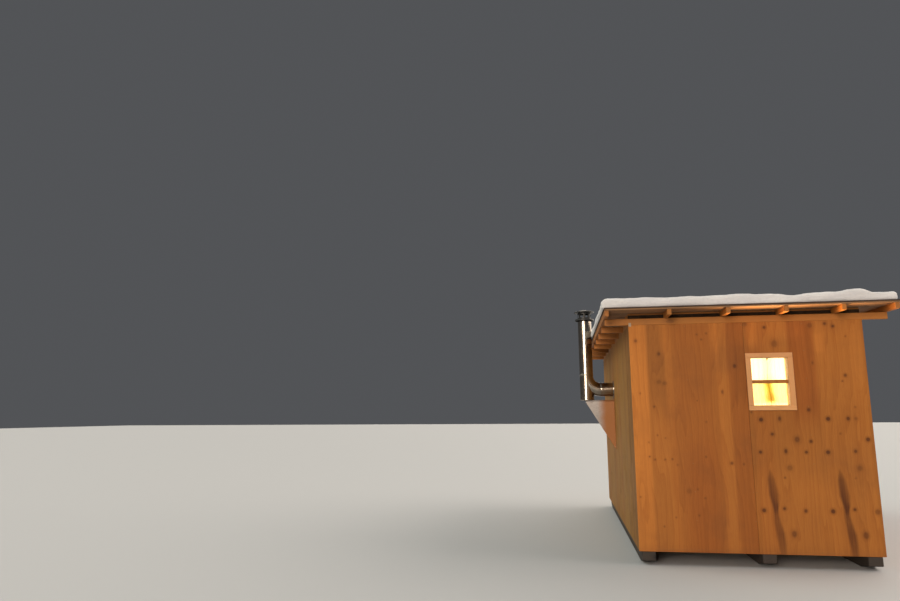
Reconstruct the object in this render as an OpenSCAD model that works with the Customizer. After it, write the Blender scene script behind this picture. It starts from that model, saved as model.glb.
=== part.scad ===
// Small plywood-clad hut on three timber sled runners, with a level roof, one window and a tee flue.
// Millimetres. +X right along the window wall, +Y towards the rear, +Z up.
// The origin is on the underside of the middle runner, on its centre line, halfway along the hut.

/* [Body] */
// Width over the wall sheets, two sheets
body_w = 2440; // [2300:10:2500]
// Depth over the wall sheets, four sheets
body_d = 4880; // [4700:10:5000]
// Height of the walls, from the runners to the roof beams
wall_h = 2440; // [2380:10:2500]
// Thickness of a wall, sheet and studs together
wall_t = 100; // [80:2:120]

/* [Runners] */
// Height of a runner
runner_h = 140; // [120:5:180]
// Width of a runner
runner_w = 140; // [120:5:150]
// Distance from the side of the hut to the outer face of the outer runners
runner_inset = 32; // [20:2:60]
// Offset of the middle runner from the centre line of the body
runner_mid_x = 100; // [-100:5:120]
// Height of the vertical end face of a runner
runner_face = 95; // [60:5:110]
// Length of the sloping underside at each runner end
runner_nose = 220; // [100:10:300]

/* [Floor] */
// Depth of a floor joist
joist_h = 140; // [120:5:150]
// Thickness of a floor joist
joist_t = 38; // [36:2:50]
// Number of floor joists
joist_n = 11; // [9:1:13]
// Thickness of the floor sheets
floor_t = 18; // [15:1:25]

/* [Roof] */
// Height of a roof beam
beam_h = 73; // [60:1:90]
// Width of a roof beam
beam_w = 45; // [38:1:60]
// How far the beams run past the side walls
beam_out = 260; // [220:1:268]
// Height of a roof batten
batten_h = 64; // [50:2:70]
// Width of a roof batten
batten_w = 45; // [38:1:50]
// How far the batten tails run past the end walls
tail_out = 268; // [220:1:274]
// Roof boards past the side walls
roof_side = 277; // [270:1:285]
// Roof boards past the end walls
roof_end = 278; // [275:1:310]
// Thickness of the roof boards
roof_board_t = 22; // [18:1:28]
// Thickness of the dark roof sheet
sheet_t = 8; // [4:1:10]
// Depth of the snow on the roof
snow_t = 122; // [80:2:140]

/* [Window] */
// Left edge of the casing, from the centre line of the body
win_x = 2; // [-60:1:120]
// Lower edge of the casing above the wall's lower edge
win_z = 1482; // [1400:2:1500]
// Width over the casing
win_w = 483; // [470:1:500]
// Height over the casing
win_h = 617; // [600:1:640]
// Width of a casing board
casing_w = 53; // [46:1:58]
// Thickness of a casing board
casing_t = 20; // [15:1:25]
// Thickness of the glass
glass_t = 4; // [3:1:6]
// Height of the window bar
bar_h = 33; // [24:1:38]

/* [Door] */
// Width of the doorway
door_w = 800; // [700:10:900]
// Height of the doorway above the floor
door_h = 2000; // [1900:10:2080]
// Thickness of the door leaf
leaf_t = 44; // [36:2:60]

/* [Flue] */
// Outer diameter of the insulated flue
flue_d = 200; // [196:1:204]
// Thickness of the flue's wall, with its insulation
flue_t = 24; // [20:1:30]
// Distance from the wall to the flue's upright axis
flue_off = 392; // [388:1:410]
// Place of the flue along the wall, from the middle of its length
flue_y = 274; // [240:2:300]
// Height of the branch above the wall's lower edge
flue_z = 1818; // [1780:2:1840]
// Height of the cowl's top above the wall's lower edge
flue_top = 3033; // [3000:1:3060]
// Height of the tee's lower end above the wall's lower edge
flue_bottom = 1662; // [1650:2:1670]
// Radius of the swept throat between upright and branch, on its centre line
throat_r = 205; // [180:5:210]
// Diameter of the cowl
cowl_d = 295; // [280:1:310]
// Diameter of the ring under the cowl
ring_d = 276; // [260:1:280]
// Lowest point of the bracket above the wall's lower edge
bracket_z = 945; // [900:5:1000]

/* [Hidden] */

$fn = 64;
cx = -runner_mid_x;            // centre line of the body
xl = cx - body_w / 2;          // outer face of the left wall
xr = cx + body_w / 2;          // outer face of the right wall
bd = body_d / 2;
z0 = runner_h;                 // lower edge of the walls
z1 = z0 + wall_h;              // top of the walls
z2 = z1 + beam_h;              // top of the beams
z3 = z2 + batten_h;            // top of the battens
z4 = z3 + roof_board_t;        // top of the roof boards
z5 = z4 + sheet_t;             // top of the sheet
il = xl + wall_t;              // inner faces of the side walls
ir = xr - wall_t;
iy = bd - wall_t;              // inner face of the end walls
zf = z0 + joist_h + floor_t;   // floor level
dz = zf + door_h;              // head of the doorway
dl = cx - door_w / 2;          // left and right edges of the doorway, seen from the front
dr = cx + door_w / 2;
beam_n = 8;
function beam_y(i) = -bd + beam_w / 2 + i * (body_d - beam_w) / (beam_n - 1);
roof_l = xl - roof_side;
roof_r = xr + roof_side;
batten_x = [roof_l + 3 + batten_w / 2, cx - 805, cx - 195, cx + 390, cx + 958, roof_r - 3 - batten_w / 2];
eave_t = 28;                   // thickness of an eave board
hx0 = cx + win_x + casing_w - 17;   // window hole
hx1 = cx + win_x + win_w - casing_w + 17;
hz0 = z0 + win_z + casing_w - 20;
hz1 = z0 + win_z + win_h - casing_w + 20;
lining = 17;                   // thickness of the window lining
fx = xl - flue_off;            // upright flue axis
fz = z0 + flue_z;              // branch axis
fr = flue_d / 2;
fb = z0 + flue_bottom;         // lower end of the tee
ft = z0 + flue_top;            // top of the cowl
tee_top = fz + throat_r + 15;
tee_end = fx + throat_r + 5;   // end of the tee's branch
stub = 50;                     // wall pipe past the inner face
ring_z = ft - 171;             // lower edge of the ring
neck_z = ft - 144;             // top of the pipe
neck_h = 98;                   // height of the slotted neck under the cowl

module box(x0, x1, y0, y1, za, zb) {
    translate([x0, y0, za]) cube([x1 - x0, y1 - y0, zb - za]);
}

module runner(x) {
    l = bd - 8;
    color([0.13, 0.09, 0.06])
    translate([x - runner_w / 2, 0, 0]) rotate([90, 0, 90])
    linear_extrude(height = runner_w)
    polygon([[-l, runner_h], [-l, runner_h - runner_face], [-l + runner_nose, 0],
        [l - runner_nose, 0], [l, runner_h - runner_face], [l, runner_h]]);
}
module runner_left() { runner(xl + runner_inset + runner_w / 2); }
module runner_middle() { runner(0); }
module runner_right() { runner(xr - runner_inset - runner_w / 2); }

module floor_joists() {
    color([0.60, 0.42, 0.24])
    for (i = [0 : joist_n - 1])
        let (y = -iy + joist_t / 2 + i * (2 * iy - joist_t) / (joist_n - 1))
        box(il, ir, y - joist_t / 2, y + joist_t / 2, z0, z0 + joist_h);
}
module floor_sheets() {
    color([0.66, 0.48, 0.28]) box(il, ir, -iy, iy, z0 + joist_h, zf);
}

module front_wall() {
    color([0.68, 0.40, 0.17])
    difference() {
        box(xl, xr, -bd, -iy, z0, z1);
        box(hx0, hx1, -bd - 1, -iy + 1, hz0, hz1);
    }
}
module left_wall() {
    color([0.64, 0.39, 0.17])
    difference() {
        box(xl, il, -iy, iy, z0, z1);
        translate([xl - 1, flue_y, fz]) rotate([0, 90, 0]) cylinder(h = wall_t + 2, r = fr + 5);
    }
}
module right_wall() {
    color([0.64, 0.39, 0.17]) box(ir, xr, -iy, iy, z0, z1);
}
module rear_wall_left() {
    color([0.64, 0.39, 0.17]) box(xl, dl, iy, bd, z0, z1);
}
module rear_wall_right() {
    color([0.64, 0.39, 0.17]) box(dr, xr, iy, bd, z0, z1);
}
module rear_wall_over_door() {
    color([0.64, 0.39, 0.17]) box(dl, dr, iy, bd, dz, z1);
}

module door_leaf() {
    color([0.60, 0.36, 0.16])
    box(dl + 4, dr - 4, bd - leaf_t - 4, bd - 4, zf + 8, dz - 4);
}
module door_casing() {
    c = 89;
    color([0.70, 0.46, 0.22])
    difference() {
        box(dl - c, dr + c, bd, bd + casing_t, z0 + 60, dz + c);
        box(dl + 2, dr - 2, bd - 1, bd + casing_t + 1, z0 + 59, dz - 2);
    }
}
module door_threshold() {
    color([0.55, 0.38, 0.22]) {
        box(dl, dr, iy, bd, z0, zf);
        box(dl + 2, dr - 2, bd, bd + 34, zf - 45, zf);
    }
}
module door_hinges() {
    color([0.12, 0.12, 0.13])
    for (z = [zf + 300, dz - 300]) {
        box(dl + 8, dl + 400, bd - 4, bd, z - 22, z + 22);
        translate([dl - 3, bd + casing_t + 8, z - 36]) cylinder(h = 72, r = 8);
        box(dl - 3, dl + 14, bd + casing_t, bd + casing_t + 4, z - 22, z + 22);
        box(dl + 8, dl + 14, bd - 2, bd + casing_t + 4, z - 22, z + 22);
        box(dl - 60, dl, bd + casing_t, bd + casing_t + 4, z - 30, z + 30);
    }
}
module door_handle() {
    hz = zf + 980;
    hx = dr - 80;
    color([0.12, 0.12, 0.13]) {
        box(hx - 19, hx + 19, bd - 4, bd, hz - 110, hz + 110);
        box(hx - 9, hx + 9, bd - 2, bd + 44, hz - 90, hz - 72);
        box(hx - 9, hx + 9, bd - 2, bd + 44, hz + 72, hz + 90);
        box(hx - 9, hx + 9, bd + 32, bd + 46, hz - 90, hz + 90);
    }
}

module window_casing() {
    x = cx + win_x;
    color([0.80, 0.70, 0.60])
    difference() {
        box(x, x + win_w, -bd - casing_t, -bd, z0 + win_z, z0 + win_z + win_h);
        box(x + casing_w, x + win_w - casing_w, -bd - casing_t - 1, -bd + 1,
            z0 + win_z + casing_w - 3, z0 + win_z + win_h - casing_w + 3);
    }
}
module window_frame() {
    color([0.72, 0.56, 0.38])
    difference() {
        box(hx0, hx1, -bd, -iy, hz0, hz1);
        box(hx0 + lining, hx1 - lining, -bd - 1, -iy + 1, hz0 + lining, hz1 - lining);
    }
}
module window_bar() {
    zc = (hz0 + hz1) / 2;
    color([0.60, 0.42, 0.24])
    box(hx0 + lining, hx1 - lining, -bd + 5, -bd + 31, zc - bar_h / 2, zc + bar_h / 2);
}
module window_glass() {
    color([0.95, 0.90, 0.70, 0.6])
    box(hx0 + lining, hx1 - lining, -bd + 31, -bd + 31 + glass_t, hz0 + lining, hz1 - lining);
}
module curtain_rod() {
    color([0.55, 0.40, 0.22]) {
        translate([hx0 - 85, -iy + 45, hz1 + 50]) rotate([0, 90, 0]) cylinder(h = hx1 - hx0 + 170, r = 8);
        for (x = [hx0 - 75, hx1 + 53]) box(x, x + 22, -iy, -iy + 52, hz1 + 34, hz1 + 66);
    }
}
module curtains() {
    xc = (hx0 + hx1) / 2;
    w = (hx1 - hx0) / 2 + 45;
    color([0.96, 0.88, 0.66])
    for (s = [-1, 1])
        box(min(xc + s * 4, xc + s * w), max(xc + s * 4, xc + s * w), -iy + 23, -iy + 67,
            hz0 - 70, hz1 + 40);
}

module roof_beam(i) {
    color([0.72, 0.45, 0.20])
    box(xl - beam_out, xr + beam_out, beam_y(i) - beam_w / 2, beam_y(i) + beam_w / 2, z1, z2);
}
module roof_beam_front() { roof_beam(0); }
module roof_beams_middle() { for (i = [1 : beam_n - 2]) roof_beam(i); }
module roof_beam_rear() { roof_beam(beam_n - 1); }
module roof_battens() {
    color([0.72, 0.46, 0.22])
    for (x = batten_x) box(x - batten_w / 2, x + batten_w / 2, -bd - tail_out, bd + tail_out, z2, z3);
}

// End eave board: a strip on the wall behind the beam, cut around the battens above it
module eave_end(s) {
    y0 = s > 0 ? bd - beam_w - eave_t : -bd + beam_w;
    color([0.60, 0.38, 0.18])
    difference() {
        box(xl + eave_t, xr - eave_t, y0, y0 + eave_t, z1, z3);
        for (x = batten_x)
            box(x - batten_w / 2, x + batten_w / 2, y0 - 1, y0 + eave_t + 1, z2, z3 + 1);
    }
}
module eave_board_front() { eave_end(-1); }
module eave_board_rear() { eave_end(1); }
// Side eave board: on the wall, cut around the beams below it
module eave_side(s) {
    x0 = s > 0 ? xr - eave_t : xl;
    color([0.60, 0.38, 0.18])
    difference() {
        box(x0, x0 + eave_t, -bd + beam_w, bd - beam_w, z1, z3);
        for (i = [1 : beam_n - 2])
            box(x0 - 1, x0 + eave_t + 1, beam_y(i) - beam_w / 2, beam_y(i) + beam_w / 2, z1 - 1, z2);
    }
}
module eave_board_left() { eave_side(-1); }
module eave_board_right() { eave_side(1); }

module roof_boards() {
    color([0.62, 0.44, 0.26])
    box(roof_l, roof_r, -bd - roof_end, bd + roof_end, z3, z4);
}
module roof_sheet() {
    color([0.16, 0.10, 0.08])
    box(roof_l - 6, roof_r + 6, -bd - roof_end - 6, bd + roof_end + 6, z4, z5);
}
module roof_snow() {
    y = bd + roof_end;
    c = 34;
    // level slab with bevelled upper edges
    color([0.95, 0.96, 0.99])
    intersection() {
        translate([roof_l, 0, 0]) rotate([90, 0, 90]) linear_extrude(height = roof_r - roof_l)
        polygon([[-y, z5], [y, z5], [y, z5 + snow_t - c], [y - c, z5 + snow_t],
            [-y + c, z5 + snow_t], [-y, z5 + snow_t - c]]);
        rotate([90, 0, 0]) linear_extrude(height = 2 * y, center = true)
        polygon([[roof_l, z5], [roof_r, z5], [roof_r, z5 + snow_t - c], [roof_r - c, z5 + snow_t],
            [roof_l + c, z5 + snow_t], [roof_l, z5 + snow_t - c]]);
    }
}

module flue_wall_pipe() {
    color([0.75, 0.75, 0.76])
    translate([tee_end, flue_y, fz]) rotate([0, 90, 0])
    difference() {
        cylinder(h = il + stub - tee_end, r = fr);
        translate([0, 0, -1]) cylinder(h = il + stub - tee_end + 2, r = fr - flue_t);
    }
}
module flue_wall_collar() {
    color([0.70, 0.70, 0.72])
    translate([xl - 4, flue_y, fz]) rotate([0, 90, 0])
    difference() {
        cylinder(h = 4, r = fr + 30);
        translate([0, 0, -1]) cylinder(h = 6, r = fr);
    }
}
// Upright, level branch and the swept quarter bend that joins them
module tee_body(r, over) {
    translate([fx, flue_y, fb + 14 - over]) cylinder(h = tee_top - fb - 14 + 2 * over, r = r);
    translate([fx + throat_r - 3, flue_y, fz]) rotate([0, 90, 0]) cylinder(h = 8 + over, r = r);
    translate([fx + throat_r, flue_y, fz + throat_r]) rotate([90, 0, 0]) rotate([0, 0, 180])
        rotate_extrude(angle = 90) translate([throat_r, 0]) circle(r = r - 1);
}
module flue_tee() {
    color([0.75, 0.75, 0.76])
    difference() {
        tee_body(fr, 0);
        tee_body(fr - flue_t - 1, 1);
    }
}
module flue_tee_cap() {
    color([0.72, 0.72, 0.73]) translate([fx, flue_y, fb]) cylinder(h = 14, r = fr + 2);
}
module flue_pipe() {
    color([0.75, 0.75, 0.76])
    translate([fx, flue_y, tee_top])
    difference() {
        cylinder(h = neck_z - tee_top, r = fr);
        translate([0, 0, -1]) cylinder(h = neck_z + 2 - tee_top, r = fr - flue_t);
    }
}
// Ring around the pipe's top
module flue_ring() {
    color([0.22, 0.22, 0.23])
    translate([fx, flue_y, ring_z])
    difference() {
        cylinder(h = 27, r = ring_d / 2);
        translate([0, 0, -1]) cylinder(h = 29, r = fr);
        translate([0, 0, -1]) cylinder(h = 24, r = ring_d / 2 - 3);
    }
}
// Neck with slots on the pipe's top, and the hat that it carries
module flue_cowl() {
    color([0.18, 0.18, 0.19])
    translate([fx, flue_y, neck_z])
    union() {
        difference() {
            cylinder(h = neck_h, r = fr - 2);
            translate([0, 0, -1]) cylinder(h = neck_h + 2, r = fr - 8);
            for (a = [22.5 : 45 : 337.5])
                rotate([0, 0, a]) translate([0, -24, 22]) cube([fr + 20, 48, 54]);
        }
        translate([0, 0, neck_h]) rotate_extrude()
            polygon([[0, 0], [cowl_d / 2, 0], [cowl_d / 2, 14], [cowl_d / 2 - 10, 20], [20, 46], [0, 46]]);
    }
}
// Folded triangular plate with a wall flange and a shelf under the tee
module flue_bracket() {
    zt = fb;
    zb = z0 + bracket_z;
    color([0.78, 0.78, 0.78]) {
        translate([0, flue_y + 2, 0]) rotate([90, 0, 0]) linear_extrude(height = 4)
        polygon([[xl - 2, zb], [xl - 2, zt - 2], [fx - 24, zt - 2], [fx - 24, zt - 30]]);
        box(xl - 4, xl, flue_y - 38, flue_y + 38, zb, zt);
        box(fx - 73, xl - 2, flue_y - 55, flue_y + 55, zt - 4, zt);
    }
}

runner_left();
runner_middle();
runner_right();
floor_joists();
floor_sheets();
front_wall();
left_wall();
right_wall();
rear_wall_left();
rear_wall_right();
rear_wall_over_door();
door_leaf();
door_casing();
door_threshold();
door_hinges();
door_handle();
window_casing();
window_frame();
window_bar();
window_glass();
curtain_rod();
curtains();
roof_beam_front();
roof_beams_middle();
roof_beam_rear();
roof_battens();
eave_board_front();
eave_board_rear();
eave_board_left();
eave_board_right();
roof_boards();
roof_sheet();
roof_snow();
flue_wall_pipe();
flue_wall_collar();
flue_tee();
flue_tee_cap();
flue_pipe();
flue_ring();
flue_cowl();
flue_bracket();
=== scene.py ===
import math

import bpy
import numpy as np
from mathutils import Matrix, Vector
from mathutils.geometry import delaunay_2d_cdt


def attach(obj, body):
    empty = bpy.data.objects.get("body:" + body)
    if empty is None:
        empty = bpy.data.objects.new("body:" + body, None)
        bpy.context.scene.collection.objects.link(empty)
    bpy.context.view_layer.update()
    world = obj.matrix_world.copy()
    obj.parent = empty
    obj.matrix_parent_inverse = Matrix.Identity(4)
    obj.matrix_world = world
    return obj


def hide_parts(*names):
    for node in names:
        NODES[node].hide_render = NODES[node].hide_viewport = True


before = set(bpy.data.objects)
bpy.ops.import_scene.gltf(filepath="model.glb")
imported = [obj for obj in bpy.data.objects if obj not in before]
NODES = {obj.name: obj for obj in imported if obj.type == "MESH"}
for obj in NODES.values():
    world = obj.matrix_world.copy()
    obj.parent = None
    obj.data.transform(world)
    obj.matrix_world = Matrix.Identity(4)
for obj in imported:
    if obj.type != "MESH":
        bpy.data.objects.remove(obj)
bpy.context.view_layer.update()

SCENE = bpy.context.scene


def seeded(word):
    """A random generator that is the same each run for the same word."""
    return np.random.default_rng(sum((i + 1) * ord(c) for i, c in enumerate(word)) * 7 + 11)


# ---------------------------------------------------------------- mesh tools

def cut_corners(poly, ch):
    """A convex 2D polygon with each corner replaced by a short flat of size ch."""
    out, n = [], len(poly)
    for i in range(n):
        a, b, c = (np.array(poly[(i + k) % n], float) for k in (-1, 0, 1))
        u, w = a - b, c - b
        u /= np.linalg.norm(u)
        w /= np.linalg.norm(w)
        out += [b + u * ch, b + w * ch]
    return np.array(out)


def inset(poly, d):
    """A convex anticlockwise polygon moved in by d."""
    n, lines = len(poly), []
    for i in range(n):
        a, b = np.array(poly[i], float), np.array(poly[(i + 1) % n], float)
        t = (b - a) / np.linalg.norm(b - a)
        lines.append((a + np.array([-t[1], t[0]]) * d, t))
    out = []
    for i in range(n):
        (p, t), (q, s) = lines[i - 1], lines[i]
        k = np.linalg.solve(np.array([t, -s]).T, q - p)[0]
        out.append(p + t * k)
    return np.array(out)


class Piece:
    """Collects the solids of one piece: points, faces, grain coordinates, board tints and material numbers."""

    def __init__(self, name, seed=None):
        self.name, self.rng = name, seeded(seed or name)
        self.v, self.f, self.g, self.t, self.m, self.s, self.count = [], [], [], [], [], [], 0

    def add(self, verts, faces, grain=None, tint=None, mat=0, smooth=False):
        verts = np.asarray(verts, float).reshape(-1, 3)
        base = self.count
        self.v.append(verts)
        self.g.append(verts if grain is None else np.asarray(grain, float).reshape(-1, 3))
        if tint is None:
            tint = self.rng.random(3)
        self.t.append(np.tile(np.asarray(tint, float), (len(verts), 1)))
        self.f += [tuple(int(i) + base for i in f) for f in faces]
        self.m += [mat] * len(faces)
        self.s += [smooth] * len(faces) if isinstance(smooth, bool) else list(smooth)
        self.count += len(verts)
        return base

    def prism(self, profile, axis, a, b, ch=0.0025, steps=1, bow=0.0, mat=0, tint=None, pith=None, ragged=0.0, smooth=False):
        """A timber along axis (0, 1 or 2) from a to b. profile is an anticlockwise convex outline in the other two axes,
        taken in the order x, y, z. Its grain coordinates are (across, through, along), from a pith of its own."""
        rng = self.rng
        others = [k for k in (0, 1, 2) if k != axis]
        prof = np.array(profile, float)
        full, end = cut_corners(prof, ch), cut_corners(inset(prof, ch), ch * 0.6)
        n = len(full)
        stations = [(a, end), (a + ch, full)]
        for k in range(1, steps):
            stations.append((a + (b - a) * k / steps, full))
        stations += [(b - ch, full), (b, end)]
        phase, side = rng.random(4) * 6.28, rng.normal(size=2) * bow
        verts, grain = [], []
        size = prof.max(0) - prof.min(0)
        if pith is None:
            angle, far = rng.random() * 6.28, 0.5 * float(size.max()) + 0.01 + rng.random() * 0.05
            pith = prof.mean(0) + np.array([math.cos(angle), math.sin(angle)]) * far
        drift, start = rng.normal(size=2) * 0.012, rng.random() * 40
        for u, sec in stations:
            k = (u - a) / (b - a)
            off = side * np.array([math.sin(math.pi * k) + 0.3 * math.sin(5 * k + phase[0]), math.sin(math.pi * k + 0.2) + 0.3 * math.sin(4 * k + phase[1])])
            for q, p in enumerate(sec):
                co = np.zeros(3)
                co[others] = p + off
                co[axis] = u
                if ragged and (u == a or u == b):
                    co[axis] += (1 if u == a else -1) * ragged * (0.5 + 0.5 * math.sin(phase[2] + 2.1 * q))
                verts.append(co)
                grain.append([*(p - pith + drift * k), u + start])
        faces = []
        for r in range(len(stations) - 1):
            for i in range(n):
                j = (i + 1) % n
                faces.append((r * n + i, r * n + j, (r + 1) * n + j, (r + 1) * n + i))
        last = (len(stations) - 1) * n
        faces += [tuple(range(n - 1, -1, -1)), tuple(last + i for i in range(n))]
        if axis == 1:  # x and z with y between them turn the other way
            faces = [tuple(reversed(f)) for f in faces]
        return self.add(verts, faces, grain, tint, mat, smooth)

    def bar(self, lo, hi, axis=None, **options):
        """A timber that fills the box from lo to hi, with its grain along axis, or along its longest side."""
        lo, hi = np.array(lo, float), np.array(hi, float)
        if axis is None:
            axis = int(np.argmax(hi - lo))
        i, j = [k for k in (0, 1, 2) if k != axis]
        outline = [(lo[i], lo[j]), (hi[i], lo[j]), (hi[i], hi[j]), (lo[i], hi[j])]
        return self.prism(outline, axis, lo[axis], hi[axis], **options)

    def lathe(self, profile, centre, axis=2, count=64, mat=0, smooth=True, closed=False, tint=None, sharp=()):
        """A turned part. profile is (radius, height) pairs; a radius of 0 closes an end. closed joins the last to the first."""
        centre, verts, faces, flags = np.array(centre, float), [], [], []
        i, j = [(1, 2), (2, 0), (0, 1)][axis]
        rows = []
        for r, h in profile:
            if r < 1e-7:
                p = centre.copy()
                p[axis] = centre[axis] + h
                rows.append([len(verts)])
                verts.append(p)
            else:
                row = []
                for k in range(count):
                    a = 2 * math.pi * k / count
                    p = centre.copy()
                    p[i] += r * math.cos(a)
                    p[j] += r * math.sin(a)
                    p[axis] = centre[axis] + h
                    row.append(len(verts))
                    verts.append(p)
                rows.append(row)
        pairs = list(zip(rows[:-1], rows[1:])) + ([(rows[-1], rows[0])] if closed else [])
        for number, (lo, hi) in enumerate(pairs):
            for k in range(count):
                l = (k + 1) % count
                if len(lo) == 1 and len(hi) == 1:
                    continue
                if len(lo) == 1:
                    f = (lo[0], hi[l], hi[k])
                elif len(hi) == 1:
                    f = (lo[k], lo[l], hi[0])
                else:
                    f = (lo[k], lo[l], hi[l], hi[k])
                faces.append(f)
                flags.append(smooth and number not in sharp)
        grain = np.array(verts) - centre
        return self.add(verts, faces, grain, tint, mat, flags)

    def make(self, mats, slot=None, replaces=(), attrs=None, smooth_angle=None, body="root"):
        mesh = bpy.data.meshes.new(self.name)
        v = np.concatenate(self.v)
        mesh.from_pydata(v.tolist(), [], self.f)
        for mat in mats:
            mesh.materials.append(mat)
        mesh.polygons.foreach_set("material_index", self.m)
        mesh.polygons.foreach_set("use_smooth", self.s)
        mesh.attributes.new("gco", "FLOAT_VECTOR", "POINT").data.foreach_set("vector", np.concatenate(self.g).astype(np.float32).ravel())
        mesh.attributes.new("tint", "FLOAT_VECTOR", "POINT").data.foreach_set("vector", np.concatenate(self.t).astype(np.float32).ravel())
        for key, values in (attrs or {}).items():
            values = np.asarray(values, np.float32)
            kind, field = ("FLOAT", "value") if values.ndim == 1 else ("FLOAT_VECTOR", "vector")
            mesh.attributes.new(key, kind, "POINT").data.foreach_set(field, values.ravel())
        mesh.update()
        obj = bpy.data.objects.new(self.name, mesh)
        SCENE.collection.objects.link(obj)
        if smooth_angle is not None:
            mesh.set_sharp_from_angle(angle=math.radians(smooth_angle))
        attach(obj, body)
        if replaces:
            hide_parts(*replaces)
        return obj


# ---------------------------------------------------------------- material tools

class Mat:
    """Short calls that add nodes to one material and give back their outputs."""

    def __init__(self, name):
        self.mat = bpy.data.materials.new(name)
        self.mat.use_nodes = True
        self.tree = self.mat.node_tree
        self.tree.nodes.clear()
        self.out = self.node("ShaderNodeOutputMaterial")
        self.bsdf = self.node("ShaderNodeBsdfPrincipled")
        self.tree.links.new(self.bsdf.outputs[0], self.out.inputs["Surface"])

    def node(self, kind):
        return self.tree.nodes.new(kind)

    def put(self, socket, value):
        if isinstance(value, bpy.types.NodeSocket):
            self.tree.links.new(value, socket)
        elif value is not None:
            if hasattr(socket.default_value, "__len__") and not hasattr(value, "__len__"):
                value = (value,) * len(socket.default_value)
            if hasattr(socket.default_value, "__len__") and len(socket.default_value) == 4 and len(value) == 3:
                value = (*value, 1.0)
            socket.default_value = value

    def set(self, **values):
        for key, value in values.items():
            self.put(self.bsdf.inputs[key.replace("_", " ")], value)

    def math(self, op, a, b=None, c=None, clamp=False):
        n = self.node("ShaderNodeMath")
        n.operation, n.use_clamp = op, clamp
        for k, x in enumerate((a, b, c)):
            if x is not None:
                self.put(n.inputs[k], x)
        return n.outputs[0]

    def vec(self, op, a, b=None):
        n = self.node("ShaderNodeVectorMath")
        n.operation = op
        self.put(n.inputs[0], a)
        if op == "SCALE":
            self.put(n.inputs["Scale"], b)
        elif b is not None:
            self.put(n.inputs[1], b)
        return n.outputs["Value"] if op in ("LENGTH", "DOT_PRODUCT", "DISTANCE") else n.outputs["Vector"]

    def attr(self, name, out="Vector"):
        n = self.node("ShaderNodeAttribute")
        n.attribute_name = name
        return n.outputs[out]

    def sep(self, v):
        n = self.node("ShaderNodeSeparateXYZ")
        self.put(n.inputs[0], v)
        return n.outputs[0], n.outputs[1], n.outputs[2]

    def join(self, x, y, z):
        n = self.node("ShaderNodeCombineXYZ")
        for k, value in enumerate((x, y, z)):
            self.put(n.inputs[k], value)
        return n.outputs[0]

    def noise(self, vec, scale=1.0, detail=2.0, rough=0.5, dist=0.0, out="Fac"):
        n = self.node("ShaderNodeTexNoise")
        self.put(n.inputs["Vector"], vec)
        for key, value in (("Scale", scale), ("Detail", detail), ("Roughness", rough), ("Distortion", dist)):
            self.put(n.inputs[key], value)
        return n.outputs[out]

    def voronoi(self, vec, scale=1.0, feature="F1", out="Distance", random=1.0):
        n = self.node("ShaderNodeTexVoronoi")
        n.feature = feature
        self.put(n.inputs["Vector"], vec)
        self.put(n.inputs["Scale"], scale)
        self.put(n.inputs["Randomness"], random)
        return n.outputs[out]

    def range(self, x, a, b, c=0.0, d=1.0, kind="SMOOTHSTEP"):
        n = self.node("ShaderNodeMapRange")
        n.interpolation_type = kind
        for k, value in enumerate((x, a, b, c, d)):
            self.put(n.inputs[k], value)
        return n.outputs[0]

    def ramp(self, fac, stops, kind="LINEAR"):
        n = self.node("ShaderNodeValToRGB")
        self.put(n.inputs[0], fac)
        n.color_ramp.interpolation = kind
        while len(n.color_ramp.elements) < len(stops):
            n.color_ramp.elements.new(0.5)
        for e, (p, c) in zip(n.color_ramp.elements, stops):
            e.position = p
            e.color = (c, c, c, 1) if not hasattr(c, "__len__") else (*c, 1)
        return n.outputs[0]

    def mix(self, fac, a, b, blend="MIX"):
        n = self.node("ShaderNodeMix")
        n.data_type, n.blend_type, n.clamp_factor = "RGBA", blend, True
        self.put(n.inputs[0], fac)
        self.put(n.inputs[6], a)
        self.put(n.inputs[7], b)
        return n.outputs[2]

    def bump(self, height, strength=1.0, distance=0.001, normal=None):
        n = self.node("ShaderNodeBump")
        self.put(n.inputs["Height"], height)
        self.put(n.inputs["Strength"], strength)
        self.put(n.inputs["Distance"], distance)
        if normal is not None:
            self.put(n.inputs["Normal"], normal)
        return n.outputs[0]

    def geo(self, out="Position"):
        return self.node("ShaderNodeNewGeometry").outputs[out]


# ---------------------------------------------------------------- wood

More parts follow.
